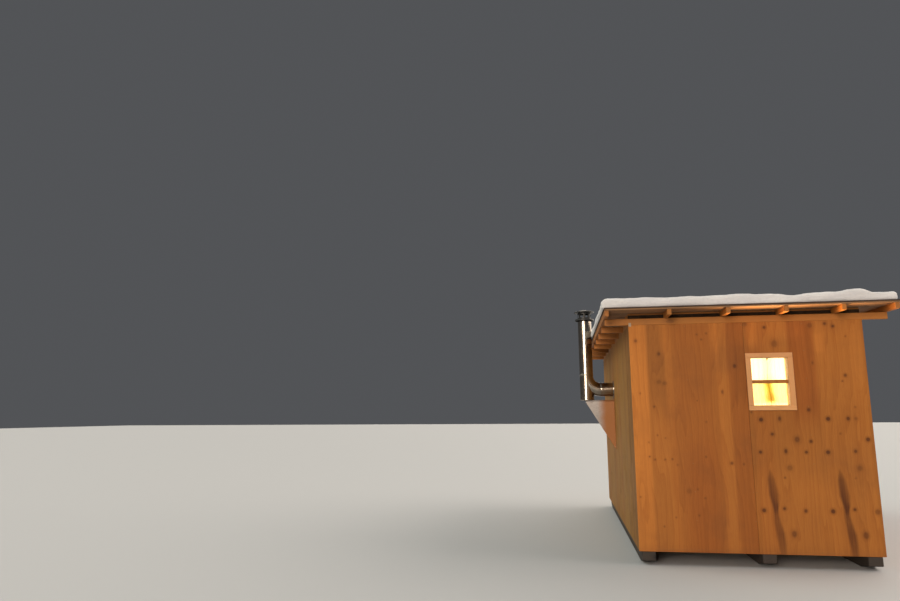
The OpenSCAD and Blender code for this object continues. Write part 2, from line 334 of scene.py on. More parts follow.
def veneer(name, light, dark, knot, rough=0.64, gloss=0.2, figure=11.0, wear=0.5):
    """Rotary cut plywood with upright figure. vco is (across, up, seed) bent round the knots, kf is (distance to the
    nearest knot in knot sizes, its darkness, streak) and tone is (brightness, redness, darkening at the foot and
    painted shade under the eave)."""
    m = Mat(name)
    across, up, seed = m.sep(m.attr("vco"))
    kd, kdark, streak = m.sep(m.attr("kf"))
    bright, red, foot_and_eave_darkening = m.sep(m.attr("tone"))
    depth = m.sep(m.attr("gco"))[1]
    broad = m.noise(m.join(m.math("MULTIPLY", across, 3.1), m.math("MULTIPLY", up, 0.5), seed), 1.0, 2.0)
    mid = m.noise(m.join(m.math("MULTIPLY", across, 15.0), m.math("MULTIPLY", up, 1.1), seed), 1.0, 3.0)
    fibre = m.noise(m.join(m.math("MULTIPLY", across, 520.0), m.math("MULTIPLY", up, 9.0), seed), 1.0, 3.0, 0.6)
    strand = m.noise(m.join(m.math("MULTIPLY", across, 95.0), m.math("MULTIPLY", up, 1.7), seed), 1.0, 3.0, 0.6)
    field = m.math("MULTIPLY_ADD", across, figure, m.math("MULTIPLY_ADD", broad, 7.0, m.math("MULTIPLY", mid, 1.1)))
    late = m.ramp(m.math("FRACT", field), [(0.0, 0.05), (0.45, 0.16), (0.78, 0.62), (0.93, 1.0), (0.985, 0.35), (1.0, 0.05)])
    lines = m.ramp(m.math("FRACT", m.math("MULTIPLY", field, 4.0)), [(0.0, 0.0), (0.6, 0.2), (0.88, 1.0), (1.0, 0.0)])
    figured = m.math("MULTIPLY_ADD", lines, 0.12, m.math("MULTIPLY_ADD", late, 0.30, m.math("MULTIPLY", strand, 0.72)), clamp=True)
    colour = m.mix(figured, light, dark)
    colour = m.mix(m.range(fibre, 0.35, 0.75, 0.0, 0.28), colour, m.mix(0.5, dark, knot))
    colour = m.mix(m.math("MULTIPLY", red, 1.0, clamp=True), colour, m.mix(1.0, colour, (0.98, 0.70, 0.55), "MULTIPLY"))
    # the knot's dark core, its growth rings and the warm halo round it
    ragged = m.math("ADD", kd, m.math("MULTIPLY_ADD", mid, 0.36, -0.18))
    rings = m.math("MULTIPLY_ADD", m.math("SINE", m.math("MULTIPLY", ragged, 17.0)), 0.12, 0.88)
    halo = m.math("MULTIPLY", m.range(ragged, 2.3, 0.9, 0.0, 0.5), kdark)
    core = m.math("MULTIPLY", m.math("MULTIPLY", m.range(ragged, 1.25, 0.55), kdark), rings)
    colour = m.mix(halo, colour, m.mix(0.55, dark, knot))
    colour = m.mix(core, colour, knot)
    colour = m.mix(m.math("MULTIPLY", streak, m.math("MULTIPLY_ADD", strand, 0.6, 0.62), clamp=True), colour, m.mix(0.1, knot, dark))
    colour = m.mix(1.0, colour, m.join(bright, bright, bright), "MULTIPLY")
    # glue lines between the plies show at cut edges
    ply = m.math("FRACT", m.math("MULTIPLY", depth, 1.0 / 0.0048))
    edge = m.math("MULTIPLY", m.range(depth, 0.0012, 0.0022), m.range(m.math("ABSOLUTE", m.math("SUBTRACT", ply, 0.5)), 0.22, 0.3))
    colour = m.mix(m.math("MULTIPLY", edge, 0.55), colour, dark)
    blotch = m.noise(m.geo(), 1.7, 4.0, 0.62)
    dirt = m.math("MULTIPLY", m.range(blotch, 0.44, 0.78), wear)
    # the darkening channel joins the dirt: a darker foot, and a painted shade along the top under the eave
    dirt = m.math("ADD", dirt, m.math("MULTIPLY", foot_and_eave_darkening, m.math("MULTIPLY_ADD", strand, 0.8, 0.3)), clamp=True)
    colour = m.mix(m.math("MULTIPLY", dirt, 0.42), colour, m.mix(0.4, knot, (0.10, 0.075, 0.055)))
    m.set(Base_Color=colour, Roughness=m.math("MULTIPLY_ADD", figured, -0.12, m.math("MULTIPLY_ADD", dirt, 0.2, rough)))
    m.set(Specular_IOR_Level=gloss)
    height = m.math("MULTIPLY_ADD", late, 0.35, m.math("MULTIPLY", fibre, 0.8))
    height = m.math("MULTIPLY_ADD", m.math("MULTIPLY", core, rings), -0.8, height)
    m.set(Normal=m.bump(height, 0.5, 0.0007))
    return m.mat


def timber(name, light, dark, knot, ring=0.0042, rough=0.6, saw=0.0, knots=1.0, wear=0.5, tintiness=0.28, coat=0.0):
    """Solid softwood. gco is (across, through, along) from the tree's pith, tint is three numbers a board."""
    m = Mat(name)
    g = m.attr("gco")
    x, y, z = m.sep(g)
    t1, t2, t3 = m.sep(m.attr("tint"))
    slow = m.noise(m.join(m.math("MULTIPLY", x, 7.0), m.math("MULTIPLY", y, 7.0), m.math("MULTIPLY", z, 0.8)), 1.0, 2.0, out="Color")
    sx, sy, sz = m.sep(slow)
    bx = m.math("MULTIPLY_ADD", sx, 0.03, x)
    by = m.math("MULTIPLY_ADD", sy, 0.03, y)
    # knots: squat ellipsoids scattered along the board, which the rings bend round
    kv = m.join(m.math("MULTIPLY", x, 6.0), m.math("MULTIPLY", y, 6.0), m.math("MULTIPLY_ADD", z, 2.6, m.math("MULTIPLY", t1, 9.0)))
    far = m.voronoi(kv, 1.0)
    near = m.range(far, 0.34, 0.05, 0.0, 1.0)
    core = m.math("MULTIPLY", m.range(far, 0.145, 0.10), knots)
    halo = m.math("MULTIPLY", m.range(far, 0.30, 0.12, 0.0, 0.6), knots)
    radius = m.math("SQRT", m.math("ADD", m.math("MULTIPLY", bx, bx), m.math("MULTIPLY", by, by)))
    radius = m.math("MULTIPLY_ADD", near, 0.010 * knots, radius)
    phase = m.math("MULTIPLY", radius, 1.0 / ring)
    phase = m.math("MULTIPLY_ADD", sz, 1.4, phase)
    late = m.ramp(m.math("FRACT", phase), [(0.0, 0.0), (0.5, 0.18), (0.84, 1.0), (0.95, 0.75), (1.0, 0.0)])
    fibre = m.noise(m.join(m.math("MULTIPLY", x, 480.0), m.math("MULTIPLY", y, 480.0), m.math("MULTIPLY", z, 14.0)), 1.0, 3.0, 0.6)
    strand = m.noise(m.join(m.math("MULTIPLY", x, 60.0), m.math("MULTIPLY", y, 60.0), m.math("MULTIPLY", z, 2.5)), 1.0, 3.0, 0.55)
    grain = m.math("MULTIPLY_ADD", late, 0.55, m.math("MULTIPLY", strand, 0.5), clamp=True)
    colour = m.mix(grain, light, dark)
    colour = m.mix(m.range(fibre, 0.4, 0.8, 0.0, 0.3), colour, dark)
    colour = m.mix(halo, colour, m.mix(0.5, dark, knot))
    colour = m.mix(core, colour, knot)
    level = m.math("MULTIPLY_ADD", t1, tintiness, 1.0 - tintiness * 0.5)
    colour = m.mix(1.0, colour, m.join(level, m.math("MULTIPLY_ADD", t2, 0.06, m.math("SUBTRACT", level, 0.03)), m.math("MULTIPLY_ADD", t3, 0.1, m.math("SUBTRACT", level, 0.05))), "MULTIPLY")
    blotch = m.noise(m.geo(), 2.3, 4.0, 0.6)
    dirt = m.math("MULTIPLY", m.range(blotch, 0.42, 0.76), wear)
    colour = m.mix(m.math("MULTIPLY", dirt, 0.5), colour, m.mix(0.5, knot, (0.09, 0.08, 0.07)))
    m.set(Base_Color=colour, Roughness=m.math("MULTIPLY_ADD", dirt, 0.15, rough), Specular_IOR_Level=0.3)
    height = m.math("MULTIPLY_ADD", late, 0.4, fibre)
    if saw:
        marks = m.noise(m.join(m.math("MULTIPLY", x, 3.0), m.math("MULTIPLY", y, 3.0), m.math("MULTIPLY", z, 260.0)), 1.0, 2.0)
        height = m.math("MULTIPLY_ADD", marks, saw, height)
    m.set(Normal=m.bump(height, 0.55, 0.0009))
    if coat:
        m.set(Coat_Weight=coat, Coat_Roughness=0.3)
    return m.mat


GOLD, AMBER, DEEP = (0.400, 0.152, 0.028), (0.262, 0.084, 0.012), (0.060, 0.015, 0.004)
WALL = veneer("wall_plywood_oiled", GOLD, AMBER, DEEP)
# side and rear walls: weathered plywood tinted olive; part of the olive tint is painted light, the greenish light on
# the hut's left side
SIDE_WALL_WEATHERED_AND_SIDE_LIT = veneer("wall_plywood_weathered_with_painted_side_light", (0.372, 0.198, 0.043), (0.243, 0.110, 0.019), (0.062, 0.021, 0.006), rough=0.68, wear=0.7)
LINING = veneer("lining_plywood", (0.62, 0.41, 0.21), (0.44, 0.25, 0.10), (0.10, 0.045, 0.02), rough=0.6, wear=0.25)
FLOOR_PLY = veneer("floor_plywood_worn", (0.50, 0.33, 0.17), (0.33, 0.18, 0.08), (0.08, 0.04, 0.02), rough=0.55, wear=0.9)
DOOR_PLY = veneer("door_plywood_oiled", (0.40, 0.160, 0.034), (0.26, 0.088, 0.016), DEEP, wear=0.6)
SPRUCE = timber("spruce_planed", (0.395, 0.153, 0.029), (0.268, 0.088, 0.013), (0.100, 0.030, 0.008), knots=0.35)
# window lining and beads: pine set lighter than the frame timbers so the reveals show the window's light, partly
# painted light
PALE_WINDOW_LIT = timber("lining_pine_lightened_window_lit", (0.80, 0.62, 0.37), (0.68, 0.47, 0.24), (0.34, 0.17, 0.07), knots=0.35, tintiness=0.1, wear=0.2)
STUD = timber("spruce_stud", (0.62, 0.44, 0.24), (0.45, 0.27, 0.12), (0.13, 0.06, 0.03))
# roof boards set dark brown: partly their own tone, partly painted shade for the underside of the eaves
SAWN = timber("roof_boards_sawn_darkened_eave_shade", (0.275, 0.150, 0.072), (0.195, 0.100, 0.042), (0.075, 0.032, 0.013), rough=0.75, saw=0.8, tintiness=0.3, wear=0.7)
# runner timber: set very dark
RUNNER_VERY_DARK = timber("runner_tarred", (0.050, 0.038, 0.030), (0.026, 0.019, 0.015), (0.012, 0.009, 0.008), rough=0.62, saw=0.5, tintiness=0.2, wear=0.35)
TRIM = timber("casing_bare", (0.620, 0.311, 0.126), (0.515, 0.242, 0.090), (0.21, 0.084, 0.031), knots=0.35, tintiness=0.12)

# ---------------------------------------------------------------- plywood sheets

def smooth(x, a, b):
    k = np.clip((x - a) / (b - a), 0, 1)
    return k * k * (3 - 2 * k)


def band(x, a, b, soft=0.03):
    return smooth(x, a - soft / 2, a + soft / 2) * (1 - smooth(x, b - soft / 2, b + soft / 2))


def panel(name, origin, across, inward, width, height, knots, mat, slot, replaces=(), up=(0, 0, 1), thick=0.012, cell=0.016,
          tone=None, streak=None, holes=(), round_hole=None, seed=1.0, relief=0.0005):
    """One plywood sheet as a closed mesh with a fine outer face, eased edges and its openings cut through."""
    origin, across, inward, up = (np.array(q, float) for q in (origin, across, inward, up))

    def lines(size, cuts):
        base = list(np.linspace(0, size, max(2, int(math.ceil(size / cell)) + 1)))
        cuts = [0.0, 0.0014, size - 0.0014, size] + list(cuts)
        base = [b for b in base if all(abs(b - c) > cell * 0.3 for c in cuts)]
        return np.array(sorted(base + cuts))

    cu = [c for h in holes for c in h[:2] if 0.002 < c < width - 0.002]
    cz = [c for h in holes for c in h[2:] if 0.002 < c < height - 0.002]
    U, Z = lines(width, cu), lines(height, cz)
    nu, nz = len(U), len(Z)
    uu, zz = np.meshgrid(U, Z)
    keep = np.ones((nz - 1, nu - 1), bool)
    mu, mz = (U[1:] + U[:-1]) / 2, (Z[1:] + Z[:-1]) / 2
    for a, b, c, d in holes:
        keep &= ~((mu[None, :] > a) & (mu[None, :] < b) & (mz[:, None] > c) & (mz[:, None] < d))
    if round_hole:
        hu, hz, hr = round_hole
        far = np.hypot(uu - hu, zz - hz)
        inside = far < hr
        gone = inside[:-1, :-1] & inside[1:, :-1] & inside[:-1, 1:] & inside[1:, 1:]
        keep &= ~gone
        touch = np.zeros((nz, nu), bool)
        for dj in (0, 1):
            for di in (0, 1):
                touch[dj:nz - 1 + dj, di:nu - 1 + di] |= gone
        held = np.zeros((nz, nu), bool)
        for dj in (0, 1):
            for di in (0, 1):
                held[dj:nz - 1 + dj, di:nu - 1 + di] |= keep
        snap = touch & held
        scale = hr / np.maximum(far, 1e-6)
        uu = np.where(snap, hu + (uu - hu) * scale, uu)
        zz = np.where(snap, hz + (zz - hz) * scale, zz)
    index = np.arange(nu * nz).reshape(nz, nu)
    js, is_ = np.nonzero(keep)
    quads = np.stack([index[js, is_], index[js, is_ + 1], index[js + 1, is_ + 1], index[js + 1, is_]], 1)
    follow = {}
    padded = np.zeros((nz + 1, nu + 1), bool)
    padded[1:-1, 1:-1] = keep
    for j, i in zip(js, is_):
        q = (index[j, i], index[j, i + 1], index[j + 1, i + 1], index[j + 1, i])
        for k, (dj, di) in enumerate(((-1, 0), (0, 1), (1, 0), (0, -1))):
            if not padded[j + 1 + dj, i + 1 + di]:
                follow[int(q[k])] = int(q[(k + 1) % 4])
    u, z = uu.ravel(), zz.ravel()
    n_front = len(u)
    rim = sorted(follow)
    place = {p: k for k, p in enumerate(rim)}
    back = {p: n_front + k for k, p in enumerate(rim)}
    solved = delaunay_2d_cdt([Vector((u[p], z[p])) for p in rim], [(place[p], place[follow[p]]) for p in rim], [], 1, 1e-7)
    faces = [tuple(q) for q in quads.tolist()]
    for a in rim:
        b = follow[a]
        faces.append((b, a, back[a], back[b]))
    for t in solved[2]:
        a, b, c = (rim[solved[3][k][0]] for k in t)
        x, h = (u[a] + u[b] + u[c]) / 3, (z[a] + z[b] + z[c]) / 3
        if any(q[0] < x < q[1] and q[2] < h < q[3] for q in holes):
            continue
        if round_hole and math.hypot(x - round_hole[0], h - round_hole[1]) < round_hole[2]:
            continue
        area = (u[b] - u[a]) * (z[c] - z[a]) - (u[c] - u[a]) * (z[b] - z[a])
        faces.append(tuple(back[p] for p in ((c, b, a) if area > 0 else (a, b, c))))
    u_all, z_all = np.concatenate([u, u[rim]]), np.concatenate([z, z[rim]])
    depth = np.concatenate([np.zeros(n_front), np.full(len(rim), thick)])
    edge = (u < 1e-6) | (u > width - 1e-6) | (z < 1e-6) | (z > height - 1e-6)
    rng = seeded(name)
    # nearest knot, and the grain bent round it
    kd, dark, bent = np.full(len(u_all), 9.0), np.zeros(len(u_all)), u_all.copy()
    for x, h, r, tall, darkness in knots:
        d = np.hypot((u_all - x) / r, (z_all - h) / (r * tall))
        nearer = d < kd
        kd, dark = np.where(nearer, d, kd), np.where(nearer, darkness, dark)
        bent -= (u_all - x) * np.exp(-((u_all - x) / (r * 1.9)) ** 2 - ((z_all - h) / (r * tall * 2.4)) ** 2) * 0.85
    s = streak(u_all, z_all) if streak else np.zeros(len(u_all))
    if tone:
        tones = tone(u_all, z_all)
    else:
        level, red = np.full(len(u_all), 1.0 + rng.normal() * 0.03), np.full(len(u_all), 0.12 + 0.2 * rng.random())
        for _ in range(7):
            c, w = rng.random() * width, 0.03 + 0.12 * rng.random()
            level += band(u_all, c - w, c + w, 0.04) * rng.normal() * 0.07
            red += band(u_all, c - w, c + w, 0.05) * rng.random() * 0.3
        tones = np.stack([level, red, np.zeros(len(u_all))], 1)
    phase = rng.random(4) * 6.28
    wave = relief * (np.sin(u_all * 9.1 + phase[0]) * np.cos(z_all * 2.3 + phase[1]) + 0.5 * np.sin(u_all * 21 + z_all * 5 + phase[2]))
    wave += 0.0004 * np.exp(-(kd / 0.9) ** 2) * (dark > 0.3)
    depth[:n_front] += np.where(edge, 0.0012, 0.0) + np.abs(wave[:n_front]) * (1 - edge)
    verts = origin + np.outer(u_all, across) + np.outer(z_all, up) + np.outer(depth, inward)
    used = np.zeros(len(verts), bool)
    for f in faces:
        used[list(f)] = True
    remap = np.cumsum(used) - 1
    faces = [tuple(int(remap[i]) for i in f) for f in faces]
    if np.dot(np.cross(across, up), inward) > 0:
        faces = [tuple(reversed(f)) for f in faces]
    piece = Piece(name)
    gco = np.stack([u_all, np.concatenate([np.zeros(n_front), np.full(len(rim), thick)]), z_all], 1)
    piece.add(verts[used], faces, gco[used], tint=(0.5, 0.5, 0.5))
    attrs = {
        "vco": np.stack([bent, z_all, np.full(len(u_all), seed)], 1)[used],
        "kf": np.stack([kd, dark, s], 1)[used],
        "tone": tones[used],
    }
    return piece.make([mat], slot, replaces, attrs)


def scattered(word, width, height, many=12, darkest=0.85):
    """Knots for one sheet: a rotary cut veneer shows the same ones again each turn of the log, 0.69 m on."""
    rng, out = seeded(word), []
    for _ in range(many):
        x, h = rng.random() * 0.69, 0.06 + rng.random() * (height - 0.12)
        r, tall, dark = 0.009 + 0.011 * rng.random(), 1.0 + 0.5 * rng.random(), 0.3 + (darkest - 0.3) * rng.random()
        for turn in range(-1, 3):
            a, b = x + turn * 0.69 + rng.normal() * 0.004, h + rng.normal() * 0.012
            if 0.03 < a < width - 0.03:
                out.append((a, b, r * (0.85 + 0.3 * rng.random()), tall, dark * (0.7 + 0.3 * rng.random())))
    return out


# ---------------------------------------------------------------- walls

BIG, MID, SMALL, SOFT = 0.0225, 0.0175, 0.011, 0.028
LEFT_KNOTS = [
    (0.071, 2.262, MID, 1.1, 0.62), (0.315, 2.110, MID, 1.2, 0.55), (0.30, 1.80, SOFT, 0.8, 0.30), (0.36, 1.785, SOFT, 0.8, 0.34),
    (0.234, 1.530, SMALL, 1.2, 0.6), (0.092, 1.677, SMALL, 1.1, 0.35), (0.961, 1.683, SMALL, 2.0, 0.6), (0.692, 1.591, 0.007, 1.0, 0.6),
    (0.773, 1.362, SMALL, 1.0, 0.35), (0.778, 2.262, SMALL, 1.1, 0.5), (0.732, 2.318, SMALL, 1.0, 0.45), (0.833, 2.328, SMALL, 1.0, 0.45),
    (1.108, 1.962, MID, 1.2, 0.72), (0.158, 0.991, SMALL, 1.1, 0.6), (0.214, 0.960, SMALL, 1.0, 0.6), (0.320, 0.960, SMALL, 1.0, 0.55),
    (0.396, 0.965, SMALL, 1.0, 0.5), (0.447, 0.904, SMALL, 1.0, 0.3), (0.158, 1.144, SMALL, 1.1, 0.4), (0.254, 1.22, SMALL, 1.0, 0.4),
    (0.335, 1.19, SMALL, 1.0, 0.35), (0.747, 0.991, SMALL, 1.1, 0.45), (1.007, 0.925, MID, 1.0, 0.62), (1.128, 0.915, SMALL, 1.1, 0.45),
    (0.041, 0.564, SMALL, 1.0, 0.5), (0.549, 0.63, SOFT, 1.0, 0.25), (0.64, 0.65, SMALL, 1.0, 0.35), (0.711, 0.559, SMALL, 1.0, 0.4),
    (0.402, 0.356, SMALL, 1.0, 0.4), (0.640, 0.38, SMALL, 1.1, 0.4), (0.274, 0.259, SMALL, 1.0, 0.4),
]
RIGHT_KNOTS = [(x - 1.22, z, r, t, d) for x, z, r, t, d in (
    (1.337, 1.383, BIG, 1.0, 0.95), (1.525, 1.393, MID, 1.6, 0.72), (2.008, 1.388, BIG, 1.0, 0.95), (2.206, 1.390, MID, 1.2, 0.8),
    (2.282, 1.39, MID, 1.0, 0.35), (1.439, 1.230, MID, 1.0, 0.75), (2.115, 1.235, SMALL, 1.1, 0.45), (1.683, 1.174, SOFT, 1.2, 0.62),
    (1.820, 1.154, MID, 1.0, 0.78), (2.379, 1.174, BIG, 1.0, 0.9), (1.306, 1.042, MID, 1.0, 0.85), (1.561, 1.052, MID, 1.5, 0.8),
    (1.764, 1.042, MID, 1.0, 0.8), (1.977, 1.042, BIG, 1.0, 0.92), (2.247, 1.052, MID, 1.1, 0.75), (1.586, 0.879, SOFT, 1.0, 0.4),
    (2.272, 0.879, SOFT, 1.0, 0.4), (1.530, 0.778, SMALL, 1.0, 0.6), (2.221, 0.778, SMALL, 1.0, 0.35), (1.296, 0.442, BIG, 1.0, 0.88),
    (1.500, 0.463, MID, 1.0, 0.8), (1.708, 0.442, MID, 1.1, 0.78), (1.972, 0.442, BIG, 1.05, 0.95), (2.183, 0.463, MID, 1.0, 0.8),
    (2.399, 0.442, SOFT, 1.0, 0.5), (1.576, 0.208, SOFT, 1.3, 0.6), (2.267, 0.208, SOFT, 1.3, 0.6), (2.221, 1.845, MID, 1.1, 0.72),
    (2.186, 1.784, SMALL, 1.0, 0.55), (1.825, 1.484, MID, 1.1, 0.72), (1.245, 1.464, SMALL, 1.2, 0.55), (2.288, 1.51, SMALL, 1.0, 0.35),
    (1.444, 2.379, MID, 1.0, 0.8), (1.250, 2.42, SOFT, 0.9, 0.4), (2.145, 2.374, MID, 1.0, 0.8), (2.064, 2.405, MID, 1.0, 0.7),
    (2.262, 2.262, SMALL, 1.0, 0.35), (1.535, 2.196, 0.034, 1.2, 0.4), (1.906, 1.983, SMALL, 1.8, 0.4), (1.911, 2.39, SOFT, 1.0, 0.4))]


# The window wall's left sheet: its upright bands, among them the brighter strip along its left edge and the darker
# strip by the joint, are partly its own tone and partly painted light and shade.
def left_tone_with_painted_light(x, z):
    level = 1.0 + 0.09 * band(x, -1, 0.19, 0.02) - 0.07 * band(x, 0.20, 0.37, 0.02) * smooth(z, 1.35, 1.7) + 0.05 * band(x, 0.37, 0.45, 0.02)
    level += 0.19 * band(x, -1, 0.175, 0.03) * (0.45 + 0.55 * smooth(z, 0.4, 1.0)) + 0.08 * band(x, 0.20, 0.37, 0.05) * band(z, 0.8, 1.45, 0.3)
    level += 0.13 * band(x, 0.335, 0.40, 0.03) * smooth(z, 2.0, 2.2) + 0.14 * band(x, 0.865, 0.945, 0.03) * smooth(z, 1.9, 2.2)
    level += -0.05 * band(x, 0.45, 0.91, 0.05) + 0.06 * band(x, 0.915, 1.03, 0.02) - 0.11 * band(x, 1.04, 2.0, 0.03)
    level -= 0.06 * band(x, 1.10, 2.0, 0.05) * band(z, 1.6, 2.13, 0.25)
    level -= 0.05 * band(x, 0.20, 0.36, 0.06) * band(z, 1.7, 2.25, 0.3)
    level -= 0.05 * band(x, 0.55, 0.9, 0.2) * band(z, -1, 1.0, 0.6)
    red = 0.10 + 0.22 * band(x, 0.45, 0.9, 0.2) + 0.35 * band(x, 1.04, 2.0, 0.06) + 0.2 * band(x, 0.55, 0.9, 0.2) * band(z, -1, 1.1, 0.6)
    # darker at the foot; the top strip is a painted shade under the eave
    foot_and_eave_darkening = 0.5 * (1 - smooth(z, 0.0, 0.10)) + 0.10 * smooth(z, 2.3, 2.44)
    return np.stack([1 + (level - 1) * 1.5, np.clip(red, 0, 1), foot_and_eave_darkening], 1)


# The window wall's right sheet: its bands, among them the shade at the joint with the left sheet and the bright band
# beside the window, are partly its own tone and partly painted light and shade.
def right_tone_with_painted_light(x, z):
    x = x + 1.22
    level = 1.0 + 0.06 * band(x, 1.48, 1.81, 0.05) * smooth(z, 2.2, 2.32) - 0.06 * band(x, 1.67, 1.93, 0.04) * smooth(z, 1.3, 1.6)
    level -= 0.06 * (band(x, 1.67, 1.73, 0.03) + band(x, 1.85, 1.91, 0.03)) * smooth(z, 1.3, 1.6) * (1 - smooth(z, 2.34, 2.44))
    level += 0.05 * band(x, 1.95, 2.29, 0.04) + 0.10 * band(x, 2.29, 2.41, 0.03) + 0.09 * band(x, 1.92, 2.04, 0.04) * band(z, 2.10, 2.30, 0.06)
    level -= 0.05 * band(x, 1.22, 1.27, 0.02) - 0.04 * band(x, 1.60, 1.90, 0.12) * band(z, 0.5, 1.2, 0.4)
    level += 0.12 * band(x, 1.25, 1.36, 0.03) * smooth(z, 2.12, 2.25) + 0.05 * band(x, 1.94, 2.06, 0.03) * band(z, 2.0, 2.42, 0.1)
    level -= 0.075 * band(z, 0.8, 1.6, 0.4) + 0.075 * smooth(x, 1.9, 2.1) * (1 - smooth(z, 0.7, 1.0))
    red = 0.06 + 0.5 * band(x, 1.67, 1.93, 0.05) * smooth(z, 1.2, 1.6) + 0.15 * band(x, 1.22, 1.45, 0.1)
    # darker at the foot; the top strip is a painted shade under the eave
    foot_and_eave_darkening = 0.5 * (1 - smooth(z, 0.0, 0.10)) + 0.10 * smooth(z, 2.3, 2.44)
    return np.stack([1 + (level - 1) * 1.5, np.clip(red, 0, 1), foot_and_eave_darkening], 1)


def resin_streaks(x, z):
    """Two dark flame-shaped streaks, one log turn apart, that end in a narrow stain with a faint trail under it."""
    total = np.zeros(len(x))
    heights = [0.0, 0.10, 0.21, 0.335, 0.40, 0.45, 0.50, 0.60, 0.76, 0.83, 0.89]
    middle = np.interp(z, heights, [0.045, 0.040, 0.030, 0.008, 0.0, 0.001, 0.004, -0.004, -0.020, -0.026, -0.030])
    half = np.interp(z, heights, [0.034, 0.042, 0.044, 0.034, 0.026, 0.026, 0.036, 0.052, 0.038, 0.018, 0.003])
    deep = np.interp(z, heights, [0.50, 0.66, 0.76, 0.60, 0.72, 1.0, 1.0, 0.88, 0.78, 0.52, 0.0])
    for foot in (1.411 - 1.22, 2.103 - 1.22):
        t = (x - foot - middle) / half
        body = 1 - smooth(np.abs(t), 0.55, 1.25)
        left_edge = 1.0 - 0.40 * smooth(t, -0.5, 0.9) * smooth(z, 0.45, 0.55)
        total = np.maximum(total, body * deep * left_edge * (1.14 if foot > 0.5 else 1.0))
    return total


WIN = (-0.062, 0.349, 1.655, 2.206)           # the window's hole in the front wall
X0, X1, Y0, Y1, Z0, Z1 = -1.320, 1.120, -2.440, 2.440, 0.140, 2.580
front_left = panel("front_wall_sheet_left", (X0, Y0, Z0), (1, 0, 0), (0, 1, 0), 1.2190, 2.44, LEFT_KNOTS, WALL, "wall_plywood",
                   ("front_wall",), cell=0.012, tone=left_tone_with_painted_light, seed=3.1)
front_right = panel("front_wall_sheet_right", (X0 + 1.2212, Y0, Z0), (1, 0, 0), (0, 1, 0), 1.2188, 2.44,
                    [(x - 0.0012, z, r, t, d) for x, z, r, t, d in RIGHT_KNOTS], WALL, "wall_plywood", ("front_wall",), cell=0.012,
                    tone=right_tone_with_painted_light, streak=resin_streaks, seed=8.7,
                    holes=[(WIN[0] - X0 - 1.2212, WIN[1] - X0 - 1.2212, WIN[2] - Z0, WIN[3] - Z0)])
side = 4.856 / 4
for k in range(4):
    y = -2.428 + side * k
    here = (0.274 - y - 0.001, 1.958 - Z0, 0.106) if y < 0.274 < y + side else None
    panel(f"left_wall_sheet_{k + 1}", (X0, y + 0.001, Z0), (0, 1, 0), (1, 0, 0), side - 0.002, 2.44, scattered(f"left{k}", side, 2.44, 11 + k, 0.7),
          SIDE_WALL_WEATHERED_AND_SIDE_LIT, "wall_plywood", ("left_wall",), cell=0.018, round_hole=here, seed=12.3 + k * 3.7)
    panel(f"right_wall_sheet_{k + 1}", (X1, y + 0.001, Z0), (0, 1, 0), (-1, 0, 0), side - 0.002, 2.44, scattered(f"right{k}", side, 2.44, 12 + k, 0.8),
          SIDE_WALL_WEATHERED_AND_SIDE_LIT, "wall_plywood", ("right_wall",), cell=0.018, seed=31.3 + k * 2.9)
for name, x, width, z, height, node, seed in (
        ("rear_wall_sheet_left", X0, 0.820, Z0, 2.44, "rear_wall_left", 51.0), ("rear_wall_sheet_right", 0.300, 0.820, Z0, 2.44, "rear_wall_right", 55.5),
        ("rear_wall_sheet_over_door", -0.4985, 0.797, 2.298, 0.282, "rear_wall_over_door", 58.2)):
    panel(name, (x, Y1, z), (1, 0, 0), (0, -1, 0), width, height, scattered(name, width, height, 14 if height > 1 else 4, 0.8), SIDE_WALL_WEATHERED_AND_SIDE_LIT,
          "wall_plywood", (node,), cell=0.018, seed=seed)

# studs and plates inside each wall, and the lining sheets
STUDY = 0.044


def stud_wall(name, axis, lo, hi, depth_lo, depth_hi, gaps=(), sill=None):
    p = Piece(name)

    def member(a, b, z0, z1):
        if axis == 0:
            p.bar((a, depth_lo, z0), (b, depth_hi, z1), axis=2 if z1 - z0 > b - a else 0)
        else:
            p.bar((depth_lo, a, z0), (depth_hi, b, z1), axis=2 if z1 - z0 > b - a else 1)
    member(lo, hi, Z1 - STUDY, Z1)
    runs, start = [], lo
    for a, b, z0, z1 in gaps:
        if z0 <= Z0:
            runs.append((start, a))
            start = b
    runs.append((start, hi))
    for a, b in runs:
        if b - a > 0.05:
            member(a, b, Z0, Z0 + STUDY)
    count = int(round((hi - lo) / 0.61))
    places = [lo + (hi - lo - STUDY) * k / count for k in range(count + 1)]
    places += [x for a, b, _, _ in gaps for x in (a - STUDY, b)]
    places = sorted(places)
    done = []
    for x in places:
        if done and x - done[-1] < STUDY + 0.001:
            continue
        cut = next((g for g in gaps if x + STUDY > g[0] and x < g[1]), None)
        if cut is None:
            member(x, x + STUDY, Z0 + STUDY + 0.0005, Z1 - STUDY - 0.0005)
            done.append(x)
        else:
            if cut[3] < Z1 - 2 * STUDY - 0.02:
                member(x, x + STUDY, cut[3] + STUDY + 0.0005, Z1 - STUDY - 0.0005)
            if cut[2] > Z0 + 2 * STUDY + 0.02:
                member(x, x + STUDY, Z0 + STUDY + 0.0005, cut[2] - STUDY - 0.0005)
    for a, b, z0, z1 in gaps:
        member(a, b, z1, z1 + STUDY)
        if z0 > Z0 + STUDY:
            member(a, b, z0 - STUDY, z0)
    return p


